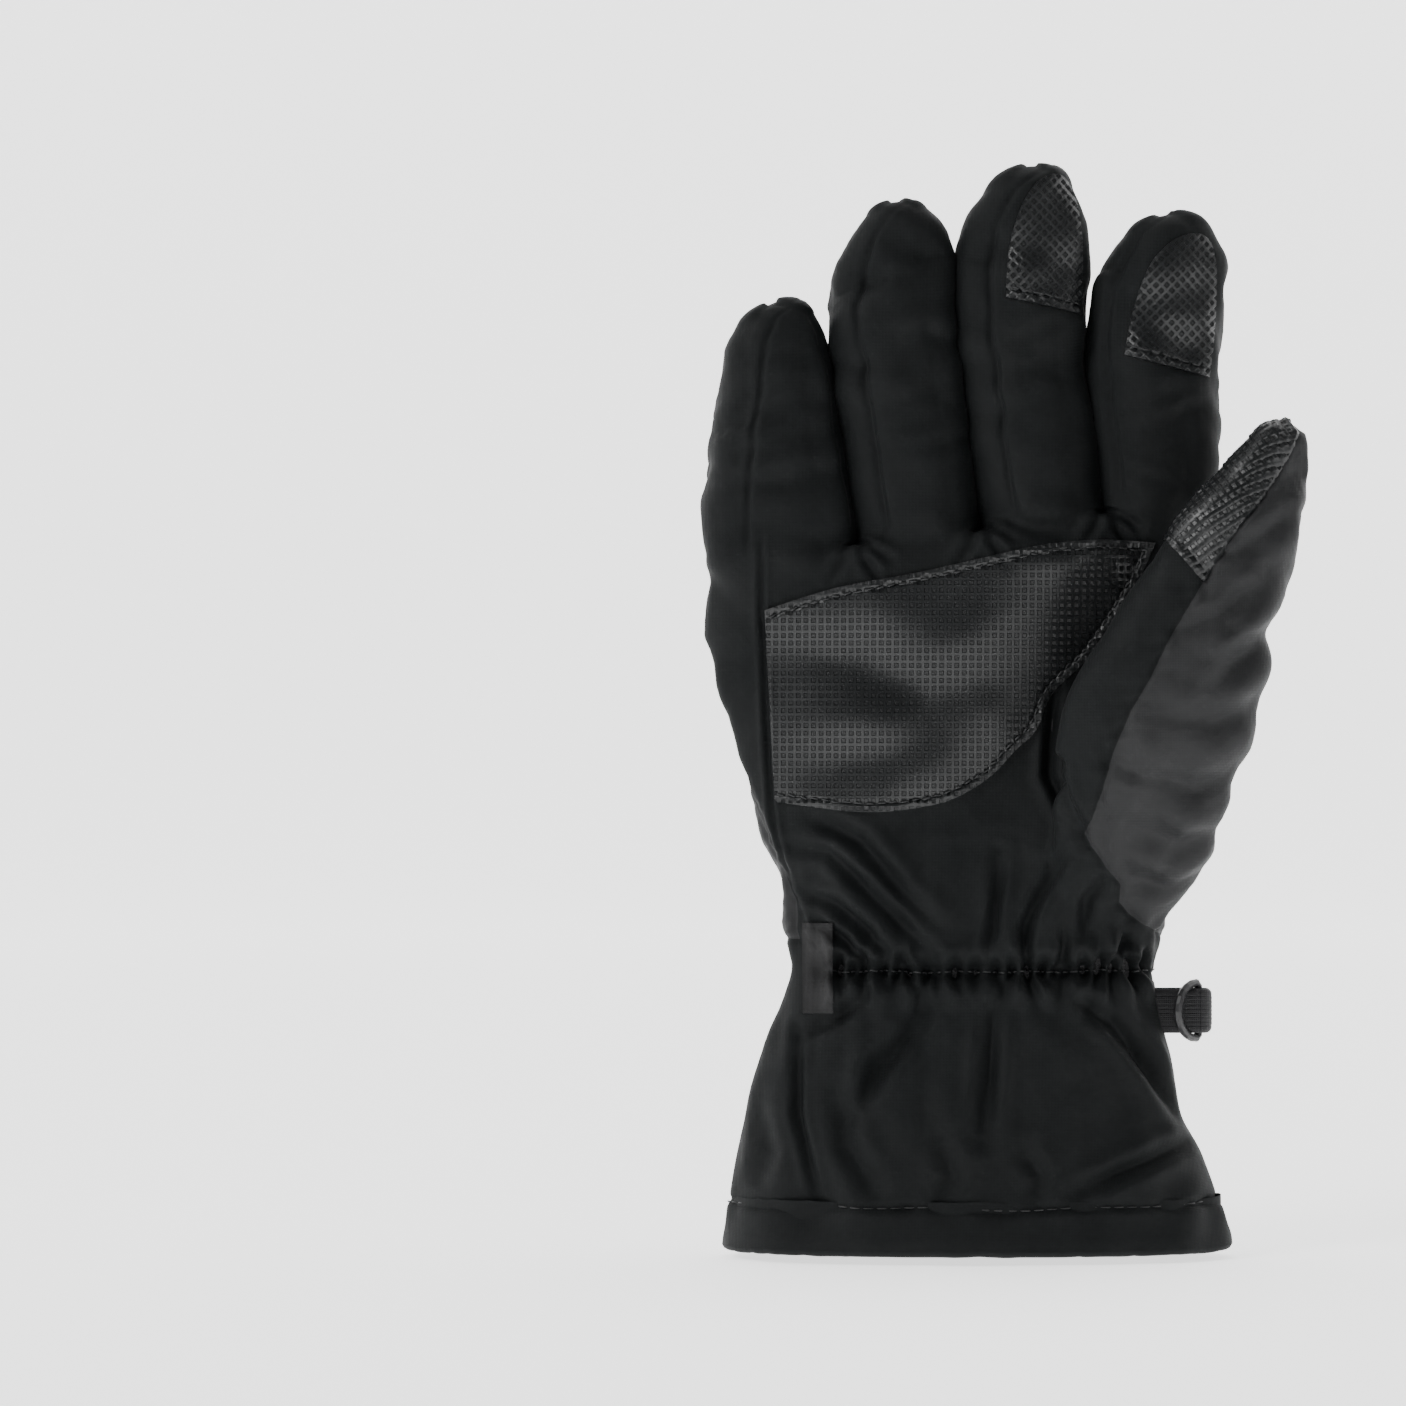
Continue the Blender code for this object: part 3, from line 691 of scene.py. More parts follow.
def gathers(rest):
    """The ruffles that the wrist elastic draws up on the palm side."""
    x, y, z = rest.T
    rng = np.random.default_rng(11)
    palm = ramp(FINGER_Y - y, 2.0, 9.0)
    side = ramp(x, -56, -48) * (1 - ramp(x, 38, 46))
    dz = z - ELASTIC_Z
    channel = 1.4 * near(np.abs(dz) - 6.5, 3.2) - 2.6 * near(dz, 2.6)
    ruffles = np.zeros(len(x))
    at = GATHERS_X[0]
    while at < GATHERS_X[1]:
        lean_up, lean_down = rng.uniform(-0.35, 0.35, 2)
        line = at + np.where(dz > 0, lean_up, lean_down) * dz + 0.8 * np.sin(dz / 5 + at)
        reach = rng.uniform(5, 13)
        width = 1.15 + np.abs(dz) * 0.10
        fade = near(dz, reach)
        depth = rng.uniform(1.3, 2.9)
        crest = near(np.abs(x - line) - 1.9 * width, 1.1 * width)
        ruffles += depth * fade * (0.5 * crest - near(x - line, width))
        at += rng.uniform(3.2, 5.8)
    back = -0.8 * (1 - palm) * near(z - CUFF_SEAM(x), 2.0)
    return palm * side * (channel + ruffles) + back * (y > FINGER_Y)


def hem_height(points):
    """The height of the hem's stitching, which wanders a little."""
    return HEM_TOP + waves(points, 26, 8, 12, (1, 1, 0)) * 0.35


def under_patch(rest):
    """1 on the palm where the grip patch lies, fading to 0 round it."""
    x, y, z = rest.T
    level = ramp(z, 112, 122) * (1 - ramp(z, 184, 194))
    return level * ramp(FINGER_Y - y, 3, 8) * (1 - ramp(x, 16, 30))


def panel_folds(rest, f):
    """The creases of the palm, the back and the thumb, and the pinches where the fingers meet."""
    x, y, z = rest.T
    palm_side = ramp(FINGER_Y - 4 - y, 0, 5)
    back_side = ramp(y - FINGER_Y - 4, 0, 5)
    low = 1 - ramp(f["along"], KNUCKLE, KNUCKLE + 12)
    off_thumb = 1 - ramp(f["thumb"], -2, 2)
    on_thumb = ramp(-y - 6, 0, 5) * ramp(x, 14, 24)
    pinches = [((place(KNUCKLE + 4, across), place(KNUCKLE + 4 + down, across + aside)), 1.3, 1.1)
               for across in CROTCHES for aside, down in CROTCH_FOLDS]
    return (back_side * low * folds(x, z, BACK_FOLDS, BACK_FOLD_DEPTH)
            + palm_side * low * off_thumb * folds(x, z, PALM_FOLDS, FOLD_DEPTH)
            + palm_side * off_thumb * folds(x, z, pinches, 1.0)
            + on_thumb * folds(x, z, THUMB_FOLDS, FOLD_DEPTH))


def seam_lines(rest, f, tips):
    """Seams draw the cloth in and pucker it beside them, less so at the fingertips."""
    seam = np.abs(f["grey"])
    pucker = waves(rest, 5.5, 5, 16) * near(seam, 4.5) * 0.22
    pucker *= 1 - 0.7 * ramp(f["along"], tips - 16, tips - 6)
    drawn_in = 0.75 * near(seam, 1.1) + near(f["front_seam"], 0.8) * f["seam_here"]
    return pucker - drawn_in * (1 - 0.75 * ramp(f["along"], tips - 9, tips - 2))


def hem_relief(rest):
    """The folded hem is thicker and wavy, with its stitching drawn in."""
    z = rest[:, 2]
    hem_line = z - hem_height(rest)
    return (0.4 * (1 - ramp(hem_line, -1.5, 1.5)) * ramp(z, -1, 3)
            - near(hem_line, 1.2) * (1 + 0.35 * waves(rest, 9, 9, 12))
            + waves(rest, 8, 6, 16, (1, 1, 0.2)) * 0.5 * near(hem_line, 6)
            + waves(rest, 24, 10, 14, (1, 1, 0.3)) * 0.8 * near(z, 9))


def finger_swell(f, tips):
    """Fingers swell until they all but touch, more so near the knuckles, and at their tips."""
    along = f["along"]
    touch = ramp(np.abs(f["spread"]), 0.5, 0.95) * ramp(along, KNUCKLE - 2, KNUCKLE + 5)
    low_length = ramp(along, KNUCKLE + 4, KNUCKLE + 14) * (1 - ramp(along, KNUCKLE + 46,
                                                                     KNUCKLE + 62))
    return ((SIDE_SWELL + LOW_SWELL * low_length) * touch
            + TIP_SWELL * ramp(along, tips - 20, tips - 4) * (1 - touch))


def relief(rest, f):
    """How far each point of the skin stands out, in millimetres along its normal."""
    z = rest[:, 2]
    off_thumb = f["thumb"] < 0
    tips = np.array([DIGITS[name]["tip"][0] for name in FINGERS])[f["finger"]]
    soft = waves(rest, 34, 3, 20) * 0.45 + waves(rest, 15, 4, 20) * 0.14
    calm = (1 - 0.6 * near(z - 5, 7)) * (1 - 0.7 * under_patch(rest))
    creases = sum(finger_folds(f, rest, which) for which in range(4)) + gathers(rest)
    return (panel_folds(rest, f) + creases * off_thumb + soft * calm + seam_lines(rest, f, tips)
            + hem_relief(rest) + finger_swell(f, tips) * off_thumb)


# --- cutting the skin into its panels and lengths ----------------------------------------------
def cut_along(work, layer, field):
    """Splits faces along a field's zero line, so that each face lies on one side of it."""
    work.verts.ensure_lookup_table()
    rest = np.array([vert[layer][:] for vert in work.verts])
    values = field(rest)
    for index, vert in enumerate(work.verts):
        vert.index = index
    ends = np.array([(e.verts[0].index, e.verts[1].index) for e in work.edges])
    a, b = values[ends[:, 0]], values[ends[:, 1]]
    crossing = np.nonzero(a * b < 0)[0]
    share_of = a[crossing] / (a[crossing] - b[crossing])
    close = np.where(share_of > 0.85, ends[crossing, 1], -1)
    close = np.where(share_of < 0.15, ends[crossing, 0], close)
    values[close[close >= 0]] = 0.0
    a, b = values[ends[:, 0]], values[ends[:, 1]]
    crossing = np.nonzero(a * b < 0)[0]
    work.edges.ensure_lookup_table()
    edges = [work.edges[i] for i in crossing]
    line = [work.verts[i] for i in np.nonzero(values == 0)[0]]
    for edge, i in zip(edges, crossing):
        start = edge.verts[0]
        share_here = a[i] / (a[i] - b[i])
        if start.index != ends[i, 0]:
            share_here = 1 - share_here
        line.append(bmesh.utils.edge_split(edge, start, share_here)[1])
    bmesh.ops.connect_verts(work, verts=line)


def face_means(work, layer, field):
    """A field's mean over each face's corners."""
    rest = np.array([vert[layer][:] for vert in work.verts])
    values = field(rest)
    for index, vert in enumerate(work.verts):
        vert.index = index
    return np.array([np.mean([values[v.index] for v in face.verts]) for face in work.faces])


def thumb_field(rest):
    """Positive on the thumb's free length."""
    return fields(rest)["thumb"]


def finger_field(rest):
    """Positive beyond the knuckles, apart from the thumb."""
    f = fields(rest)
    return np.minimum(f["along"] - (KNUCKLE + CUT_ROOM), -f["thumb"])


def tip_field(rest):
    """Positive on the fingers' and the thumb's end lengths."""
    f = fields(rest)
    middle = np.array([BENDS[name] - FINGER_CUT_BACK for name in FINGERS])
    finger = f["along"] - middle[f["finger"]]
    thumb = f["station"] - THUMB_CUT
    return np.where(f["thumb"] > 0, thumb, finger)


def grey_field(rest):
    """Positive on the grey panels."""
    return fields(rest)["grey"]


def hem_field(rest):
    """Positive above the hem."""
    return rest[:, 2] - HEM_TOP


def body_of_faces(work, layer):
    """The name of the moving length that each face belongs to."""
    thumb = face_means(work, layer, thumb_field) > 0
    finger = face_means(work, layer, finger_field) > 0
    tip = face_means(work, layer, tip_field) > 0
    which = np.round(face_means(work, layer, lambda r: fields(r)["finger"])).astype(int)
    names = []
    for on_thumb, on_finger, on_tip, number in zip(thumb, finger, tip, which):
        part = "upper" if on_tip else "lower"
        if on_thumb:
            names.append(f"thumb_{part}")
        elif on_finger:
            names.append(f"{FINGERS[number]}_{part}")
        else:
            names.append("hand")
    return names


def blend(piece):
    """Bakes a piece's placement into its mesh, so that its points stand where it is seen."""
    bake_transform(piece)


def split_off(work, layer, names, normals_layer):
    """Makes a mesh object of the faces with each name, leaving out those with an empty name."""
    groups = {}
    for face, name in zip(work.faces, names):
        if name:
            groups.setdefault(name, []).append(face)
    pieces = {}
    for name, faces in groups.items():
        verts = {}
        for face in faces:
            for vert in face.verts:
                verts.setdefault(vert, len(verts))
        mesh = bpy.data.meshes.new(name)
        mesh.from_pydata([vert.co[:] for vert in verts], [],
                         [[verts[vert] for vert in face.verts] for face in faces])
        store_rest(mesh, np.array([vert[layer][:] for vert in verts]))
        mesh.shade_smooth()
        normals = np.array([vert[normals_layer][:] for vert in verts])
        mesh.normals_split_custom_set_from_vertices(normals.tolist())
        pieces[name] = link(bpy.data.objects.new(name, mesh))
    return pieces


# --- the skin, from cloth to panels --------------------------------------------------------------
def inside_lip(work, layer):
    """Folds the open edge inwards and up, as the thickness of the turned hem."""
    edges = [edge for edge in work.edges if edge.is_boundary]
    loop = {vert for edge in edges for vert in edge.verts}
    middle = sum((vert.co for vert in loop), Vector()) / len(loop)
    home = {}
    for vert in loop:
        way = Vector((middle.x - vert.co.x, 2.5 * (middle.y - vert.co.y), 0)).normalized()
        home[vert] = (vert.co.copy(), way, vert[layer].copy())
    for inward, up in HEM_LIP:
        made = bmesh.ops.extrude_edge_only(work, edges=edges)["geom"]
        edges = [item for item in made if isinstance(item, bmesh.types.BMEdge)]
        edges = [edge for edge in edges if edge.is_boundary]
        fresh = {}
        for vert in {vert for edge in edges for vert in edge.verts}:
            source = next(other for edge in vert.link_edges for other in [edge.other_vert(vert)]
                          if other in home)
            start, way, rest = home[source]
            vert.co = start + way * inward * MM + Vector((0, 0, up * MM))
            vert[layer] = rest
            fresh[vert] = home[source]
        home = fresh


def cut_panels(body, cuts, namer, lip=False):
    """Cuts a body along the fields' zero lines and returns its panels by name."""
    work = bmesh.new()
    work.from_mesh(body.data)
    layer = work.verts.layers.float_vector["rest"]
    if lip:
        inside_lip(work, layer)
    work.normal_update()
    normals_layer = work.verts.layers.float_vector.new("skin_normal")
    layer = work.verts.layers.float_vector["rest"]
    for vert in work.verts:
        vert[normals_layer] = vert.normal
    for field in cuts:
        cut_along(work, layer, field)
    names = namer(work, layer)
    pieces = split_off(work, layer, names, normals_layer)
    work.free()
    bpy.data.objects.remove(body)
    return pieces


def skin_names(work, layer):
    """Which panel each face of the skin belongs to: its length of the glove and its cloth."""
    bodies = body_of_faces(work, layer)
    grey = face_means(work, layer, grey_field) > 0
    above = face_means(work, layer, hem_field) > 0
    names = []
    for body_name, is_grey, over in zip(bodies, grey, above):
        if not over:
            names.append("hem")
        else:
            names.append(f"{body_name}-{'grey' if is_grey else 'black'}")
    return names


def layer_names(work, layer):
    """Finds the back padding and the wrist elastic on the layer between skin and lining."""
    bodies = body_of_faces(work, layer)
    back = face_means(work, layer, back_field) > 0
    elastic = face_means(work, layer, elastic_field) > 0
    names = []
    for body_name, is_back, is_elastic in zip(bodies, back, elastic):
        if is_elastic:
            names.append("elastic")
        elif is_back and body_name == "hand":
            names.append("padding")
        else:
            names.append("")
    return names


def back_field(rest):
    """Positive on the back of the hand, above the cuff seam."""
    f = fields(rest)
    return np.minimum(f["back"] - 2.0, KNUCKLE + CUT_ROOM - f["along"])


def elastic_field(rest):
    """Positive on the band of elastic across the palm side of the wrist."""
    x, y, z = rest.T
    band = ELASTIC_HALF - np.abs(z - ELASTIC_Z)
    return np.minimum(np.minimum(band, FINGER_Y - 6 - y), np.minimum(x + 54, 42 - x))


def simulated_cloth():
    """The rest points of a coarse skin, and how the simulated cloth moved them.

    The moves are smoothed, more so on the back, near the hem and under the palm's grip patch.
    """
    cloth = solid_body("cloth", CLOTH_VOXEL)
    drape(cloth)
    places = read_rest(cloth.data)
    pairs = neighbours(cloth.data)
    move = relax(read_points(cloth.data) - places, pairs, 6)
    calm_move = relax(move, pairs, 16, 0.5)
    along = along_across(places[:, 0], places[:, 2])[0]
    on_back = ramp(places[:, 1] - FINGER_Y, -2, 6) * (1 - ramp(along, KNUCKLE - 6, KNUCKLE + 8))
    near_hem = 1 - ramp(places[:, 2], 12, 40)
    calm = np.maximum(np.maximum(on_back, near_hem), under_patch(places))[:, None]
    move = move * (1 - calm) + calm_move * calm
    move[:, 2] *= ramp(places[:, 2], 2, 45)
    bpy.data.objects.remove(cloth)
    return places, move


def crease(skin):
    """Divides the skin once more and raises its folds, gathers and seams."""
    finer = skin.modifiers.new("finer", "SUBSURF")
    finer.levels = 1
    finer.render_levels = 1
    apply_modifiers(skin)
    rest = read_rest(skin.data)
    lift = relief(rest, fields(rest))
    write_points(skin.data, read_points(skin.data) + read_normals(skin.data) * lift[:, None])


def tree_of(piece):
    """A piece's surface, to cast rays at."""
    return BVHTree.FromPolygons([vert.co[:] for vert in piece.data.vertices],
                                [face.vertices[:] for face in piece.data.polygons])


skin = solid_body("skin", SKIN_VOXEL)
padding_body = solid_body("padding_body", LAYER_VOXEL, PAD_INSET)
lining_body = solid_body("lining_body", LAYER_VOXEL, LINING_INSET)
cloth_rest, cloth_move = simulated_cloth()
for body in (skin, padding_body, lining_body):
    points = read_points(body.data)
    write_points(body.data, points + carry_over(points, cloth_rest, cloth_move))
crease(skin)
skin_tree = tree_of(skin)

CUTS = (thumb_field, finger_field, tip_field, grey_field)
panels = cut_panels(skin, CUTS + (hem_field,), skin_names, lip=True)
linings = cut_panels(lining_body, CUTS[:3], body_of_faces)
layers = cut_panels(padding_body, (back_field, elastic_field, finger_field, thumb_field), layer_names)


# --- pieces laid on the skin -----------------------------------------------------------------------
def outline_depth(x, z, outline):
    """Distance inside a closed outline in x and z, negative outside it."""
    closed = list(outline) + [outline[0]]
    distance = line_distance(x, z, closed)[0]
    inside = np.zeros(len(x), bool)
    for (ax, az), (bx, bz) in zip(closed, closed[1:]):
        if az != bz:
            crosses = ((az > z) != (bz > z)) & (x < (bx - ax) * (z - az) / (bz - az) + ax)
            inside ^= crosses
    return np.where(inside, distance, -distance)


def smooth_line(points, count):
    """A smooth curve through an outline's points."""
    return [tuple(row) for row in smooth_keys(points, count)]


def square_lines(low, high):
    """Grid lines whose cells alternate between the net and the small recessed squares."""
    lines, sunk = [], []
    at = low
    while at < high:
        for offset, down in ((0.0, 0), (0.36, 0), (0.52, 1), (1.48, 1), (1.64, 0)):
            lines.append(at + offset * SQUARE_PITCH / 2.0)
            sunk.append(down)
        at += SQUARE_PITCH
    return np.array(lines), np.array(sunk)


def blurred(values, valid, rounds):
    """Averages a grid of values with its valid neighbours, several times over."""
    total = np.where(valid, values, 0.0)
    weight = valid.astype(float)
    for _ in range(rounds):
        for axis in (0, 1):
            total = total + np.roll(total, 1, axis) + np.roll(total, -1, axis)
            weight = weight + np.roll(weight, 1, axis) + np.roll(weight, -1, axis)
        total /= 9
        weight /= 9
    return np.where(weight > 1e-6, total / np.maximum(weight, 1e-6), values), weight > 1e-6


def patch_grid(outline, out, turn, y_limit):
    """The points of a net over a patch, far outside the glove along out, and which are sunk."""
    side = np.array((-out[1], out[0], 0.0)) / math.hypot(out[0], out[1])
    upward = np.cross(out, side)
    shape = np.array(outline)
    reach = np.stack([shape[:, 0], np.full(len(shape), y_limit - 8), shape[:, 1]], axis=1)
    plane = np.stack([reach @ side, reach @ upward], axis=1)
    middle = (plane.min(axis=0) + plane.max(axis=0)) / 2
    half = np.abs(plane - middle).max(axis=0) + 4
    if turn:
        half = np.array([np.hypot(*half)] * 2)
    p, p_sunk = square_lines(-half[0], half[0])
    q, q_sunk = square_lines(-half[1], half[1])
    grid_p, grid_q = np.meshgrid(p, q, indexing="ij")
    c, s = math.cos(turn), math.sin(turn)
    u = middle[0] + grid_p * c - grid_q * s
    v = middle[1] + grid_p * s + grid_q * c
    origin = u[..., None] * side + v[..., None] * upward + out * RAY_START
    return origin, p_sunk[:, None] * q_sunk[None, :]


def lay_on_skin(origin, out, y_low, blur):
    """Moves a grid's points onto the skin, smoothed, and tells which of them can be used.

    Where the skin is met in front of y_low, another part of the glove bulges over the patch, and
    the grid runs on under it.
    """
    height = np.full(origin.shape[:2], NO_LIMIT)
    valid = np.zeros(height.shape, bool)
    way = Vector(-out)
    for index in np.ndindex(height.shape):
        hit = skin_tree.ray_cast(Vector(origin[index]) * MM, way)
        if hit[0] is not None and hit[0].y / MM > y_low:
            height[index] = RAY_START - hit[3] / MM
            valid[index] = True
    soft, reached = blurred(height, valid, blur)
    height = np.where(valid, np.maximum(soft, height - 0.15), soft)
    height = blurred(height, reached, 2)[0]
    return origin + (height - RAY_START)[..., None] * out, reached if y_low > NO_LIMIT else valid


def film_lift(flat, sunk, hems):
    """How far the film stands off the skin: sunk squares, and a thicker band at its folded edges."""
    hem = np.full(len(flat), 99.0)
    for line in hems:
        hem = np.minimum(hem, line_distance(flat[:, 0], flat[:, 2], line)[0])
    band = 1 - ramp(hem, HEM_BAND - 0.35, HEM_BAND + 0.35)
    stitched = near(hem - HEM_BAND, 0.4)
    return PATCH_LIFT + 0.3 * band - 0.42 * stitched - SQUARE_DEPTH * sunk * (1 - 0.45 * band)


def grip_patch(name, outline, hems, out, turn, y_low, y_limit, blur):
    """A sheet of grip film on the skin: an embossed net of squares, folded and sewn at its hems."""
    out = np.array(out) / np.linalg.norm(out)
    origin, sunk = patch_grid(outline, out, turn, y_limit)
    base, usable = lay_on_skin(origin, out, y_low, blur)
    flat = base.reshape(-1, 3)
    raised = flat + film_lift(flat, sunk.ravel(), hems)[:, None] * out

    def edge_field(places):
        """Positive inside the outline, as far back as y_limit."""
        return np.minimum(outline_depth(places[:, 0], places[:, 2], outline),
                          y_limit - places[:, 1])

    work = bmesh.new()
    verts = {}
    layer = work.verts.layers.float_vector.new("rest")
    for i in np.nonzero(usable.ravel() & (edge_field(flat) > -3))[0]:
        verts[i] = work.verts.new(raised[i] * MM)
        verts[i][layer] = flat[i]
    wide = sunk.shape[1]
    for i in verts:
        corners = (i, i + wide, i + wide + 1, i + 1)
        if (i + 1) % wide and all(k in verts for k in corners):
            work.faces.new([verts[k] for k in corners])
    cut_along(work, layer, edge_field)
    means = face_means(work, layer, edge_field)
    outside = [face for face, mean in zip(work.faces, means) if mean < 0]
    bmesh.ops.delete(work, geom=outside, context="FACES")
    drop_islands(work)
    loose = [vert for vert in work.verts if not vert.link_faces]
    bmesh.ops.delete(work, geom=loose, context="VERTS")
    edges = [edge for edge in work.edges if edge.is_boundary]
    made = bmesh.ops.extrude_edge_only(work, edges=edges)["geom"]
    for vert in {item for item in made if isinstance(item, bmesh.types.BMVert)}:
        vert.co -= Vector(out) * PATCH_RIM * MM
    work.normal_update()
    mesh = mesh_from(work, name)
    mesh.shade_smooth()
    mesh.set_sharp_from_angle(angle=math.radians(38))
    return link(bpy.data.objects.new(name, mesh))


def drop_islands(work):
    """Deletes every connected group of faces but the largest."""
    left_over = set(work.faces)
    groups = []
    while left_over:
        group, front = set(), [left_over.pop()]
        while front:
            face = front.pop()
            group.add(face)
            for edge in face.edges:
                for other in edge.link_faces:
                    if other in left_over:
                        left_over.remove(other)
                        front.append(other)
        groups.append(group)
    groups.sort(key=len)
    stray = [face for group in groups[:-1] for face in group]
    bmesh.ops.delete(work, geom=stray, context="FACES")


def inset_line(line, outline):
    """A patch's folded edge, moved inwards to where its stitching runs."""
    inner = []
    for (px, pz), (qx, qz) in zip(line, line[1:]):
        step = math.hypot(qx - px, qz - pz)
        nx, nz = -(qz - pz) / step * HEM_BAND, (qx - px) / step * HEM_BAND
        for share_of in np.linspace(0, 1, max(2, int(step / 0.6)), endpoint=False):
            x, z = px + (qx - px) * share_of, pz + (qz - pz) * share_of
            inside = outline_depth(np.array([x + nx]), np.array([z + nz]), outline)[0] >= 0
            inner.append((x + nx, z + nz) if inside else (x - nx, z - nz))
    return inner


def surface_path(tree, points, out):
    """Points in x and z laid on a surface, seen along out."""
    way = Vector(out).normalized()
    path = []
    for x, z in points:
        hit = tree.ray_cast(Vector((x, 0, z)) * MM + way * 0.12, -way)
        if hit[0] is not None:
            path.append((hit[0], hit[1]))
    return path


def stitch_row(name, path, length=2.3, gap=0.8, radius=0.24):
    """A row of small thread stitches along a path of points and normals."""
    work = bmesh.new()
    places = [np.array(point) / MM for point, _ in path]
    ups = [np.array(up) for _, up in path]
    steps = np.cumsum([0] + [np.linalg.norm(b - a) for a, b in zip(places, places[1:])])
    places, ups = np.array(places), np.array(ups)

    def at(distance):
        """The place and the surface's direction at a distance along the path."""
        spot = np.array([np.interp(distance, steps, places[:, k]) for k in range(3)])
        up = np.array([np.interp(distance, steps, ups[:, k]) for k in range(3)])
        return spot, up / np.linalg.norm(up)

    start = 0.4
    while start + length < steps[-1]:
        rings = []
        for share_of, size, rise in STITCH_RINGS:
            spot, up = at(start + share_of * length)
            ahead = at(start + share_of * length + 0.1)[0] - at(start + share_of * length - 0.1)[0]
            ahead /= max(np.linalg.norm(ahead), 1e-9)
            beside = np.cross(ahead, up)
            rings.append([work.verts.new(Vector(spot + up * (rise + STITCH_LIFT) + size * radius
                                                * (beside * math.cos(a) + up * math.sin(a))) * MM)
                          for a in np.linspace(0, 2 * np.pi, 6, endpoint=False)])
        for low, high in zip(rings, rings[1:]):
            for i in range(6):
                work.faces.new((low[i], high[i], high[(i + 1) % 6], low[(i + 1) % 6]))
        work.faces.new(rings[0])
        work.faces.new(rings[-1][::-1])
        start += length + gap
    bmesh.ops.recalc_face_normals(work, faces=work.faces)
    mesh = mesh_from(work, name)
    mesh.shade_smooth()
    return link(bpy.data.objects.new(name, mesh))


def solid_sheet(name, rows, thick):
    """A sheet through a grid of points in millimetres, made thick on its inner side."""
    work = bmesh.new()
    grid = [[work.verts.new(Vector(point) * MM) for point in row] for row in rows]
    for low, high in zip(grid, grid[1:]):
        for a, b, c, d in zip(low, low[1:], high[1:], high):
            work.faces.new((a, b, c, d))
    piece = link(bpy.data.objects.new(name, mesh_from(work, name)))
    thicken(piece, thick)
    piece.data.shade_smooth()
    piece.data.set_sharp_from_angle(angle=math.radians(45))
    return piece


def ring_loop():
    """The ribbed webbing that comes out of the side seam and folds round the ring's bar."""
    low, high = (np.array(corner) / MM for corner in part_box("ring_webbing"))
    bar = hinge("d_ring_swing")
    radius = (high[1] - low[1]) / 2
    centre_x = high[0] - radius
    straight = np.linspace(WEBBING_START, centre_x, 60)
    path = [(x, low[1], 0, -1) for x in straight]
    path += [(centre_x + radius * math.cos(a), bar[1] + radius * math.sin(a), math.cos(a), math.sin(a))
             for a in np.linspace(-math.pi / 2, math.pi / 2, 36)]
    path += [(x, high[1], 0, 1) for x in straight[::-1]]
    rows = []
    for x, y, nx, ny in path:
        row = []
        for share_of in np.linspace(0, 1, 73):
            rib = RIB_HEIGHT * (abs(math.sin(math.pi * share_of * RIBS)) ** 0.7 - 1)
            edge = 0.25 * (1 - abs(2 * share_of - 1) ** 8)
            row.append((x + nx * (rib + edge - 0.25), y + ny * (rib + edge - 0.25),
                        low[2] + (high[2] - low[2]) * share_of))
        rows.append(row)
    return solid_sheet("ring_webbing_loop", rows, WEBBING_WALL)


def woven_label():
    """A small plain woven label, sewn at its left side and lying on the palm side of the wrist."""
    xs = np.linspace(LABEL_X[0], LABEL_X[1], 33)
    zs = np.linspace(LABEL_Z[1], LABEL_Z[0], 90)
    ys = np.zeros((len(zs), len(xs)))
    for j, z in enumerate(zs):
        for i, x in enumerate(xs):
            hit = skin_tree.ray_cast(Vector((x, -120, z)) * MM, Vector((0, 1, 0)))
            ys[j, i] = hit[0].y / MM if hit[0] is not None else FINGER_Y
    wide = np.pad(ys, LABEL_MARGIN, mode="edge")
    soft = blurred(wide, np.ones(wide.shape, bool), 30)[0]
    soft = soft[LABEL_MARGIN:-LABEL_MARGIN, LABEL_MARGIN:-LABEL_MARGIN]
    ys = np.minimum(soft, ys) - 0.35
    rows = []
    for j, z in enumerate(zs):
        free = (np.arange(len(xs)) / (len(xs) - 1)) ** 1.5
        wave = 0.35 * math.sin(j / 13.0)
        rib = 0.03 * (j % 2)
        border = 0.12 if j < 4 or j > len(zs) - 5 else 0.0
        rows.append([(x, ys[j, i] - free[i] * (0.5 + wave) - rib - border, z)
                     for i, x in enumerate(xs)])
    return solid_sheet("wrist_label_tape", rows, -0.45)


# --- materials -------------------------------------------------------------------------------------
def new_material(name, color, rough, **sockets):
    """A material with its constants on the shader's own sockets."""
    made = bpy.data.materials.new(name)
    made.use_nodes = True
    shader = made.node_tree.nodes["Principled BSDF"]
    shader.inputs["Base Color"].default_value = (*color, 1)
    shader.inputs["Roughness"].default_value = rough
    for socket, value in sockets.items():
        shader.inputs[socket.replace("_", " ")].default_value = value
    return made, made.node_tree, shader


def node(tree, kind, place_at, **values):
    """Adds a shader node; keys that are sockets set those, the others its properties."""
    made = tree.nodes.new(kind)
    made.location = place_at
    for key, value in values.items():
        socket = key.replace("_", " ")
        if socket in made.inputs:
            made.inputs[socket].default_value = value
        else:
            setattr(made, key, value)
    return made


def wire(tree, *pairs):
    """Links sockets in pairs."""
    for start, end in pairs:
        tree.links.new(start, end)


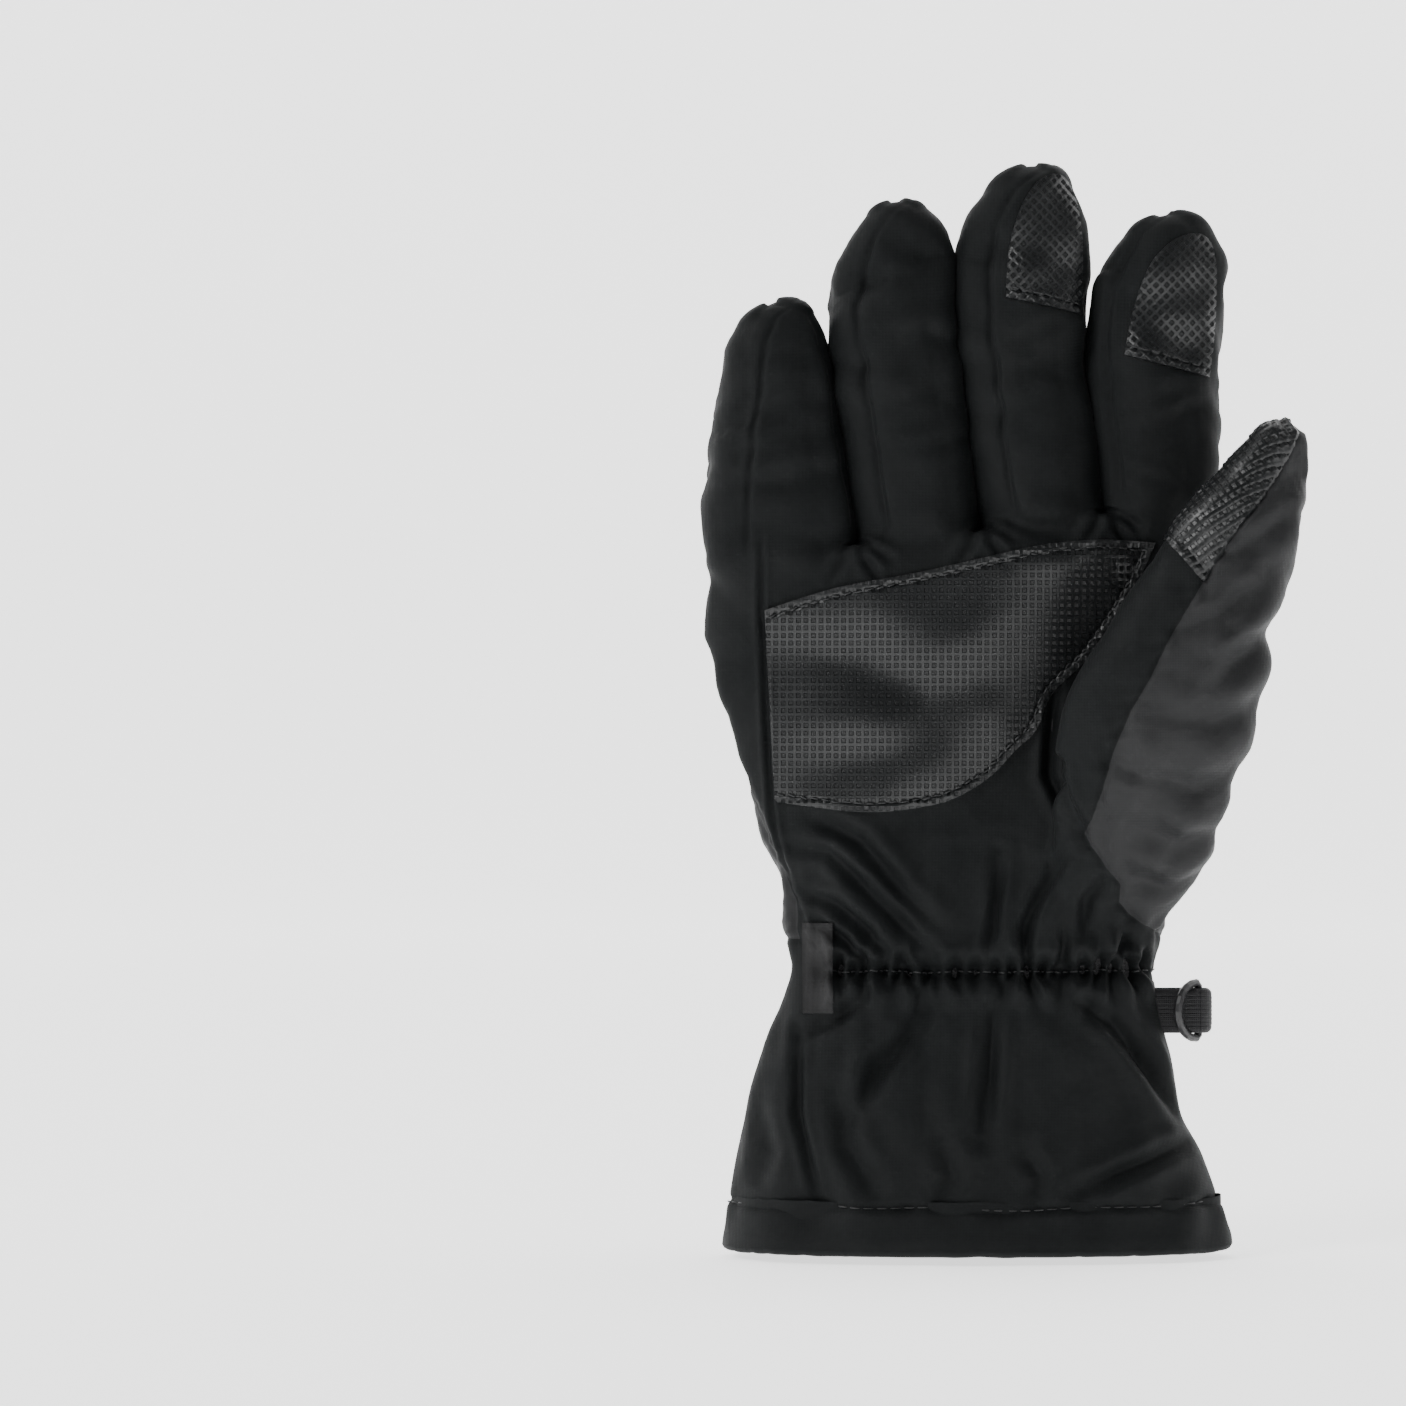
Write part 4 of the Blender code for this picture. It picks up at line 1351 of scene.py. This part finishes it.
def mottle(tree, shader, color, spread, scale, detail_scale):
    """Varies the base colour softly over broad areas and finely between threads."""
    places = node(tree, "ShaderNodeTexCoord", (-1500, 300)).outputs["Object"]
    broad = node(tree, "ShaderNodeTexNoise", (-1250, 400), Scale=scale, Detail=3.0)
    fine = node(tree, "ShaderNodeTexNoise", (-1250, 150), Scale=detail_scale, Detail=2.0)
    both = node(tree, "ShaderNodeMath", (-1000, 300), operation="ADD")
    half = node(tree, "ShaderNodeMath", (-820, 300), operation="MULTIPLY")
    half.inputs[1].default_value = 0.5
    span = node(tree, "ShaderNodeValToRGB", (-640, 300))
    for stop, position, sign in zip(span.color_ramp.elements, (0.35, 0.65), (-1, 1)):
        stop.position = position
        stop.color = (*[v * (1 + sign * spread) for v in color], 1)
    wire(tree, (places, broad.inputs["Vector"]), (places, fine.inputs["Vector"]),
         (broad.outputs["Fac"], both.inputs[0]), (fine.outputs["Fac"], both.inputs[1]),
         (both.outputs[0], half.inputs[0]), (half.outputs[0], span.inputs["Fac"]),
         (span.outputs["Color"], shader.inputs["Base Color"]))
    return places, broad, fine


def rough_from(tree, shader, source, low, high):
    """Drives the roughness from a noise, between two values."""
    span = node(tree, "ShaderNodeMapRange", (-400, 0))
    for key, value in (("From Min", 0.3), ("From Max", 0.7), ("To Min", low), ("To Max", high)):
        span.inputs[key].default_value = value
    wire(tree, (source.outputs["Fac"], span.inputs["Value"]),
         (span.outputs["Result"], shader.inputs["Roughness"]))


def bump_from(tree, shader, height, strength, depth):
    """Raises the surface by a height socket, over a depth in millimetres."""
    bump = node(tree, "ShaderNodeBump", (-400, -300), Strength=strength, Distance=depth * MM)
    wire(tree, (height, bump.inputs["Height"]), (bump.outputs["Normal"], shader.inputs["Normal"]))


def woven(name, color, pitch, strength, rough, spread, **sockets):
    """Cloth with crossing threads at their real pitch, in millimetres."""
    made, tree, shader = new_material(name, color, sum(rough) / 2, **sockets)
    places, broad, fine = mottle(tree, shader, color, spread, 55.0, 900.0)
    rough_from(tree, shader, broad, *rough)
    weave = node(tree, "ShaderNodeMath", (-1000, -250), operation="MULTIPLY")
    for row, direction in enumerate(("X", "Z")):
        wave = node(tree, "ShaderNodeTexWave", (-1250, -150 - 250 * row), Distortion=1.2,
                    Scale=WAVE_SCALE / (pitch * MM), bands_direction=direction)
        wave.inputs["Detail Scale"].default_value = 3.0
        wire(tree, (places, wave.inputs["Vector"]), (wave.outputs["Fac"], weave.inputs[row]))
    fuzz = node(tree, "ShaderNodeMath", (-820, -250), operation="ADD")
    wire(tree, (weave.outputs[0], fuzz.inputs[0]), (fine.outputs["Fac"], fuzz.inputs[1]))
    bump_from(tree, shader, fuzz.outputs[0], strength, 0.25)
    return made


def grained(name, color, scale, strength, rough, spread, cells=True, **sockets):
    """Moulded or coated material with a fine grain."""
    made, tree, shader = new_material(name, color, sum(rough) / 2, **sockets)
    places, broad, _ = mottle(tree, shader, color, spread, 70.0, 700.0)
    rough_from(tree, shader, broad, *rough)
    kind = "ShaderNodeTexVoronoi" if cells else "ShaderNodeTexNoise"
    grain = node(tree, kind, (-1000, -250), Scale=scale)
    wire(tree, (places, grain.inputs["Vector"]))
    bump_from(tree, shader, grain.outputs["Distance" if cells else "Fac"], strength, 0.15)
    return made


WAVE_SCALE = 0.314         # a wave texture of scale 1 repeats about every 0.314 units
GREY = woven("grey_shell_cloth", (0.0135, 0.0139, 0.0146), 0.42, 0.25, (0.52, 0.64), 0.05,
             Sheen_Weight=0.03, Sheen_Roughness=0.45, Specular_IOR_Level=0.22)
BLACK = woven("black_shell_cloth", (0.0036, 0.0045, 0.0048), 0.38, 0.3, (0.60, 0.74), 0.10,
              Sheen_Weight=0.01, Sheen_Roughness=0.5, Specular_IOR_Level=0.16)
GRIP = grained("grip_film", (0.0050, 0.0058, 0.0062), 1900.0, 0.2, (0.34, 0.42), 0.12,
               Specular_IOR_Level=0.46)
FLEECE = grained("fleece_pile", (0.02, 0.02, 0.022), 650.0, 0.9, (0.9, 0.98), 0.25, cells=False,
                 Sheen_Weight=0.3, Sheen_Roughness=0.6)
WADDING = grained("wadding", (0.55, 0.55, 0.53), 420.0, 0.8, (0.9, 0.97), 0.06, cells=False)
ELASTIC = woven("woven_elastic", (0.011, 0.011, 0.012), 0.9, 0.8, (0.75, 0.85), 0.15)
WEBBING = woven("ribbed_webbing", (0.008, 0.008, 0.009), 0.5, 0.5, (0.5, 0.62), 0.12,
                Specular_IOR_Level=0.3)
LABEL = woven("label_weave", (0.0065, 0.0065, 0.007), 0.33, 0.5, (0.5, 0.6), 0.12,
              Specular_IOR_Level=0.28)
THREAD = grained("thread", (0.011, 0.012, 0.0125), 2400.0, 0.4, (0.45, 0.55), 0.1, cells=False)
PLASTIC = grained("ring_plastic", (0.012, 0.012, 0.013), 1500.0, 0.12, (0.36, 0.44), 0.08, cells=False)


def dress(piece, made):
    """Gives a piece its material."""
    piece.data.materials.clear()
    piece.data.materials.append(made)
    return piece


# --- the skin's panels -----------------------------------------------------------------------------
CLOTHS = {"grey": (GREY, "grey_shell", "back"), "black": (BLACK, "black_shell", "palm")}
for key, piece in panels.items():
    if key == "hem":
        piece.name = "hem_fold"
        dress(piece, BLACK)
        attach(piece, "glove_cuff")
        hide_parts("hem_binding")
        continue
    body_name, cloth_name = key.split("-")
    made, slot_name, side = CLOTHS[cloth_name]
    piece.name = f"{body_name}_{side}_shell"
    dress(piece, made)
    blend(piece)
    if body_name != "hand":
        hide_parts(f"{body_name}_{side}")
    elif cloth_name == "grey":
        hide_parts("hand_back_panel", "thumb_base_panel")
    else:
        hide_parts("hand_palm_panel", "cuff_palm_panel", "cuff_back_panel")
for key, piece in linings.items():
    piece.name = f"{key}_fleece"
    piece.data.shade_smooth()
    dress(piece, FLEECE)
    blend(piece)
    if key == "hand":
        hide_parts("hand_lining", "cuff_lining")
    else:
        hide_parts(f"{key}_lining")
for key, made, slot_name, cad_node in (("padding", WADDING, "padding", "hand_insulation"),
                                       ("elastic", ELASTIC, "elastic", "wrist_elastic")):
    piece = layers[key]
    piece.name = f"{cad_node}_layer"
    thicken(piece, LAYER_WALL)
    dress(piece, made)
    blend(piece)
    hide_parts(cad_node)

# --- patches, stitching, label, webbing and ring ---------------------------------------------------
PALM_TOP = ((-65.3, 169.7), (-47, 175.5), (-24.8, 179.7), (-5.7, 184), (8, 187), (24, 188.5),
            (38.9, 187.7))
PALM_BOTTOM = ((-62.6, 118.7), (-50.3, 117), (-39.7, 116), (-29, 116.5), (-16.4, 119), (-5.7, 125),
               (1.6, 132.5), (7, 137.7), (11.3, 147.4), (19.8, 155.8), (27, 165.4), (34.6, 178),
               (38.9, 187.7))
MIDDLE_PATCH = ((-1.2, 253), (-0.4, 265), (2.7, 276.5), (8, 284.5), (14, 286), (17.8, 280),
                (19.6, 268), (19.8, 248.6))
INDEX_PATCH = ((30.3, 237.6), (33.2, 251), (37.9, 262.7), (45.2, 269.2), (52.5, 269.5), (55.2, 262),
               (55.0, 246), (53.3, 231.8))
THUMB_PATCH = ((48.9, 176.5), (54.8, 186.3), (61.2, 194.7), (67.5, 203), (73.3, 212.8), (75.2, 220.5))
THUMB_PATCH_END = ((73, 226), (28, 214), (26, 203.4))


def sew_patch(name, body_name, cad_node, outline, hems, out, **laid):
    """Lays a grip patch on the skin, with a row of stitches along each folded edge."""
    patch = grip_patch(name, outline, hems, out, **laid)
    tree = tree_of(patch)
    for k, line in enumerate(hems):
        path = surface_path(tree, inset_line(line, outline), out)
        if len(path) > 8:
            row = dress(stitch_row(f"{name}_stitches_{k + 1}", path), THREAD)
            blend(row)
    dress(patch, GRIP)
    blend(patch)
    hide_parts(cad_node)


palm_top = smooth_line(PALM_TOP, 30)
palm_bottom = smooth_line(PALM_BOTTOM, 44)
sew_patch("palm_grip", "hand", "palm_grip_patch", palm_bottom + palm_top[::-1][1:],
          (palm_top, palm_bottom), (0, -1, 0), turn=0.0, y_low=PALM_Y - 9, y_limit=FINGER_Y - 4,
          blur=26)
for finger, outline, low_edge in (("middle_finger", MIDDLE_PATCH, ((-4, 253.8), (22.4, 248.1))),
                                  ("index_finger", INDEX_PATCH, ((27, 238.5), (57, 230.8)))):
    sew_patch(f"{finger}_grip", f"{finger}_upper", f"{finger}_grip_patch", smooth_line(outline, 40),
              (low_edge,), (0.15, -0.99, 0.1), turn=math.pi / 4, y_low=NO_LIMIT,
              y_limit=FINGER_Y - 3, blur=20)
sew_patch("thumb_grip", "thumb_upper", "thumb_grip_patch",
          smooth_line(THUMB_PATCH, 24) + list(THUMB_PATCH_END),
          ((THUMB_PATCH[0], THUMB_PATCH_END[-1]),), (-0.5, -0.7, 0.45), turn=math.pi / 4,
          y_low=NO_LIMIT, y_limit=-25.5, blur=20)


def hem_path():
    """The line of the hem's stitching round the cuff, each point with its outward direction."""
    path = []
    for angle in np.linspace(0, 2 * np.pi, 720):
        way = Vector((math.sin(angle), -math.cos(angle) * CUFF_FLATNESS, 0)).normalized()
        centre = Vector((CUFF_MIDDLE_X, FINGER_Y, HEM_TOP)) * MM
        hit = skin_tree.ray_cast(centre + way * 0.2, -way)
        centre.z = hem_height(np.array([hit[0]]) / MM)[0] * MM
        hit = skin_tree.ray_cast(centre + way * 0.2, -way)
        if hit[0] is not None:
            path.append((hit[0], way))
    return path


hem_stitches = dress(stitch_row("hem_stitches", hem_path(), 2.6, 1.0), THREAD)
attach(hem_stitches, "glove_cuff")
elastic_points = [(x, ELASTIC_Z + 0.3 * math.sin(x / 3)) for x in np.linspace(-50, 40, 240)]
elastic_path = surface_path(skin_tree, elastic_points, (0, -1, 0))
elastic_stitches = dress(stitch_row("elastic_stitches", elastic_path, 2.0, 0.9), THREAD)
blend(elastic_stitches)
label = dress(woven_label(), LABEL)
blend(label)
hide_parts("wrist_label")
webbing = dress(ring_loop(), WEBBING)
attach(webbing, "glove_cuff")
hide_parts("ring_webbing")
ring = frame["nodes"]["d_ring"]
ring.data.materials.clear()
ring.data.materials.append(PLASTIC)


# --- floor, backdrop, light and camera -------------------------------------------------------------
def backdrop():
    """A pale round floor that curves up into a pale wall behind the glove and beside it."""
    profile = [(0.02, 0.0), (1.0, 0.0), (2.0, 0.0)]
    profile += [(2.2 + 0.8 * math.sin(a), 0.8 * (1 - math.cos(a)))
                for a in np.linspace(0, math.pi / 2, 14)]
    profile.append((3.0, 2.6))
    sides = 96
    work = bmesh.new()
    turns = [2 * math.pi * k / sides for k in range(sides)]
    rows = [[work.verts.new((r * math.cos(t), r * math.sin(t), FLOOR_Z + up)) for t in turns]
            for r, up in profile]
    work.faces.new(rows[0])
    for (low, high), (_, up) in zip(zip(rows, rows[1:]), profile):
        for i in range(sides):
            if up < 0.01 or math.sin(turns[i]) > WALL_FRONT:
                work.faces.new((low[i], high[i], high[(i + 1) % sides], low[(i + 1) % sides]))
    mesh = mesh_from(work, "backdrop")
    mesh.shade_smooth()
    piece = link(bpy.data.objects.new("backdrop", mesh))
    made, _, shader = new_material("pale_backdrop", (0.86, 0.86, 0.86), 0.9,
                                   Emission_Strength=BACKDROP_GLOW)
    shader.inputs["Emission Color"].default_value = (1, 1, 1, 1)
    mesh.materials.append(made)


def area_light(name, at, aim, size, watts):
    """A soft square light that looks at a point."""
    lamp = bpy.data.lights.new(name, "AREA")
    lamp.shape = "SQUARE"
    lamp.size = size
    lamp.energy = watts
    made = link(bpy.data.objects.new(name, lamp))
    made.location = at
    made.rotation_euler = (Vector(aim) - Vector(at)).to_track_quat("-Z", "Y").to_euler()


def photo_camera():
    """The level camera in front of the palm, framed with the glove in the right half."""
    lens = bpy.data.cameras.new("camera")
    lens.sensor_width = 36.0
    lens.lens = CAMERA_DISTANCE * 36.0 / FRAME_WIDTH
    made = link(bpy.data.objects.new("camera", lens))
    made.location = (CAMERA_X, FINGER_Y * MM - CAMERA_DISTANCE, CAMERA_Z)
    made.rotation_euler = (math.pi / 2, 0, 0)
    bpy.context.scene.camera = made


FLOOR_Z = -0.0035
BACKDROP_GLOW = 1.45
WALL_FRONT = -0.3          # the wall stands where the sine of its direction is above this
FRAME_WIDTH = 0.3775
CAMERA_DISTANCE = 1.5
CAMERA_X, CAMERA_Z = -0.0817, 0.145
backdrop()
area_light("key", (-1.25, -0.95, 1.25), (0, 0, 0.14), 0.6, 20)
area_light("fill", (1.2, -1.4, 0.5), (0, 0, 0.14), 0.9, 1.5)
area_light("top", (0.2, 0.3, 1.6), (0, 0, 0.14), 1.2, 10)
area_light("wall", (0, 0.8, 2.4), (0, 2.0, 0.3), 1.6, 8)
world = bpy.data.worlds.new("studio")
world.use_nodes = True
world.node_tree.nodes["Background"].inputs["Color"].default_value = (1, 1, 1, 1)
world.node_tree.nodes["Background"].inputs["Strength"].default_value = 0.12
bpy.context.scene.world = world
photo_camera()
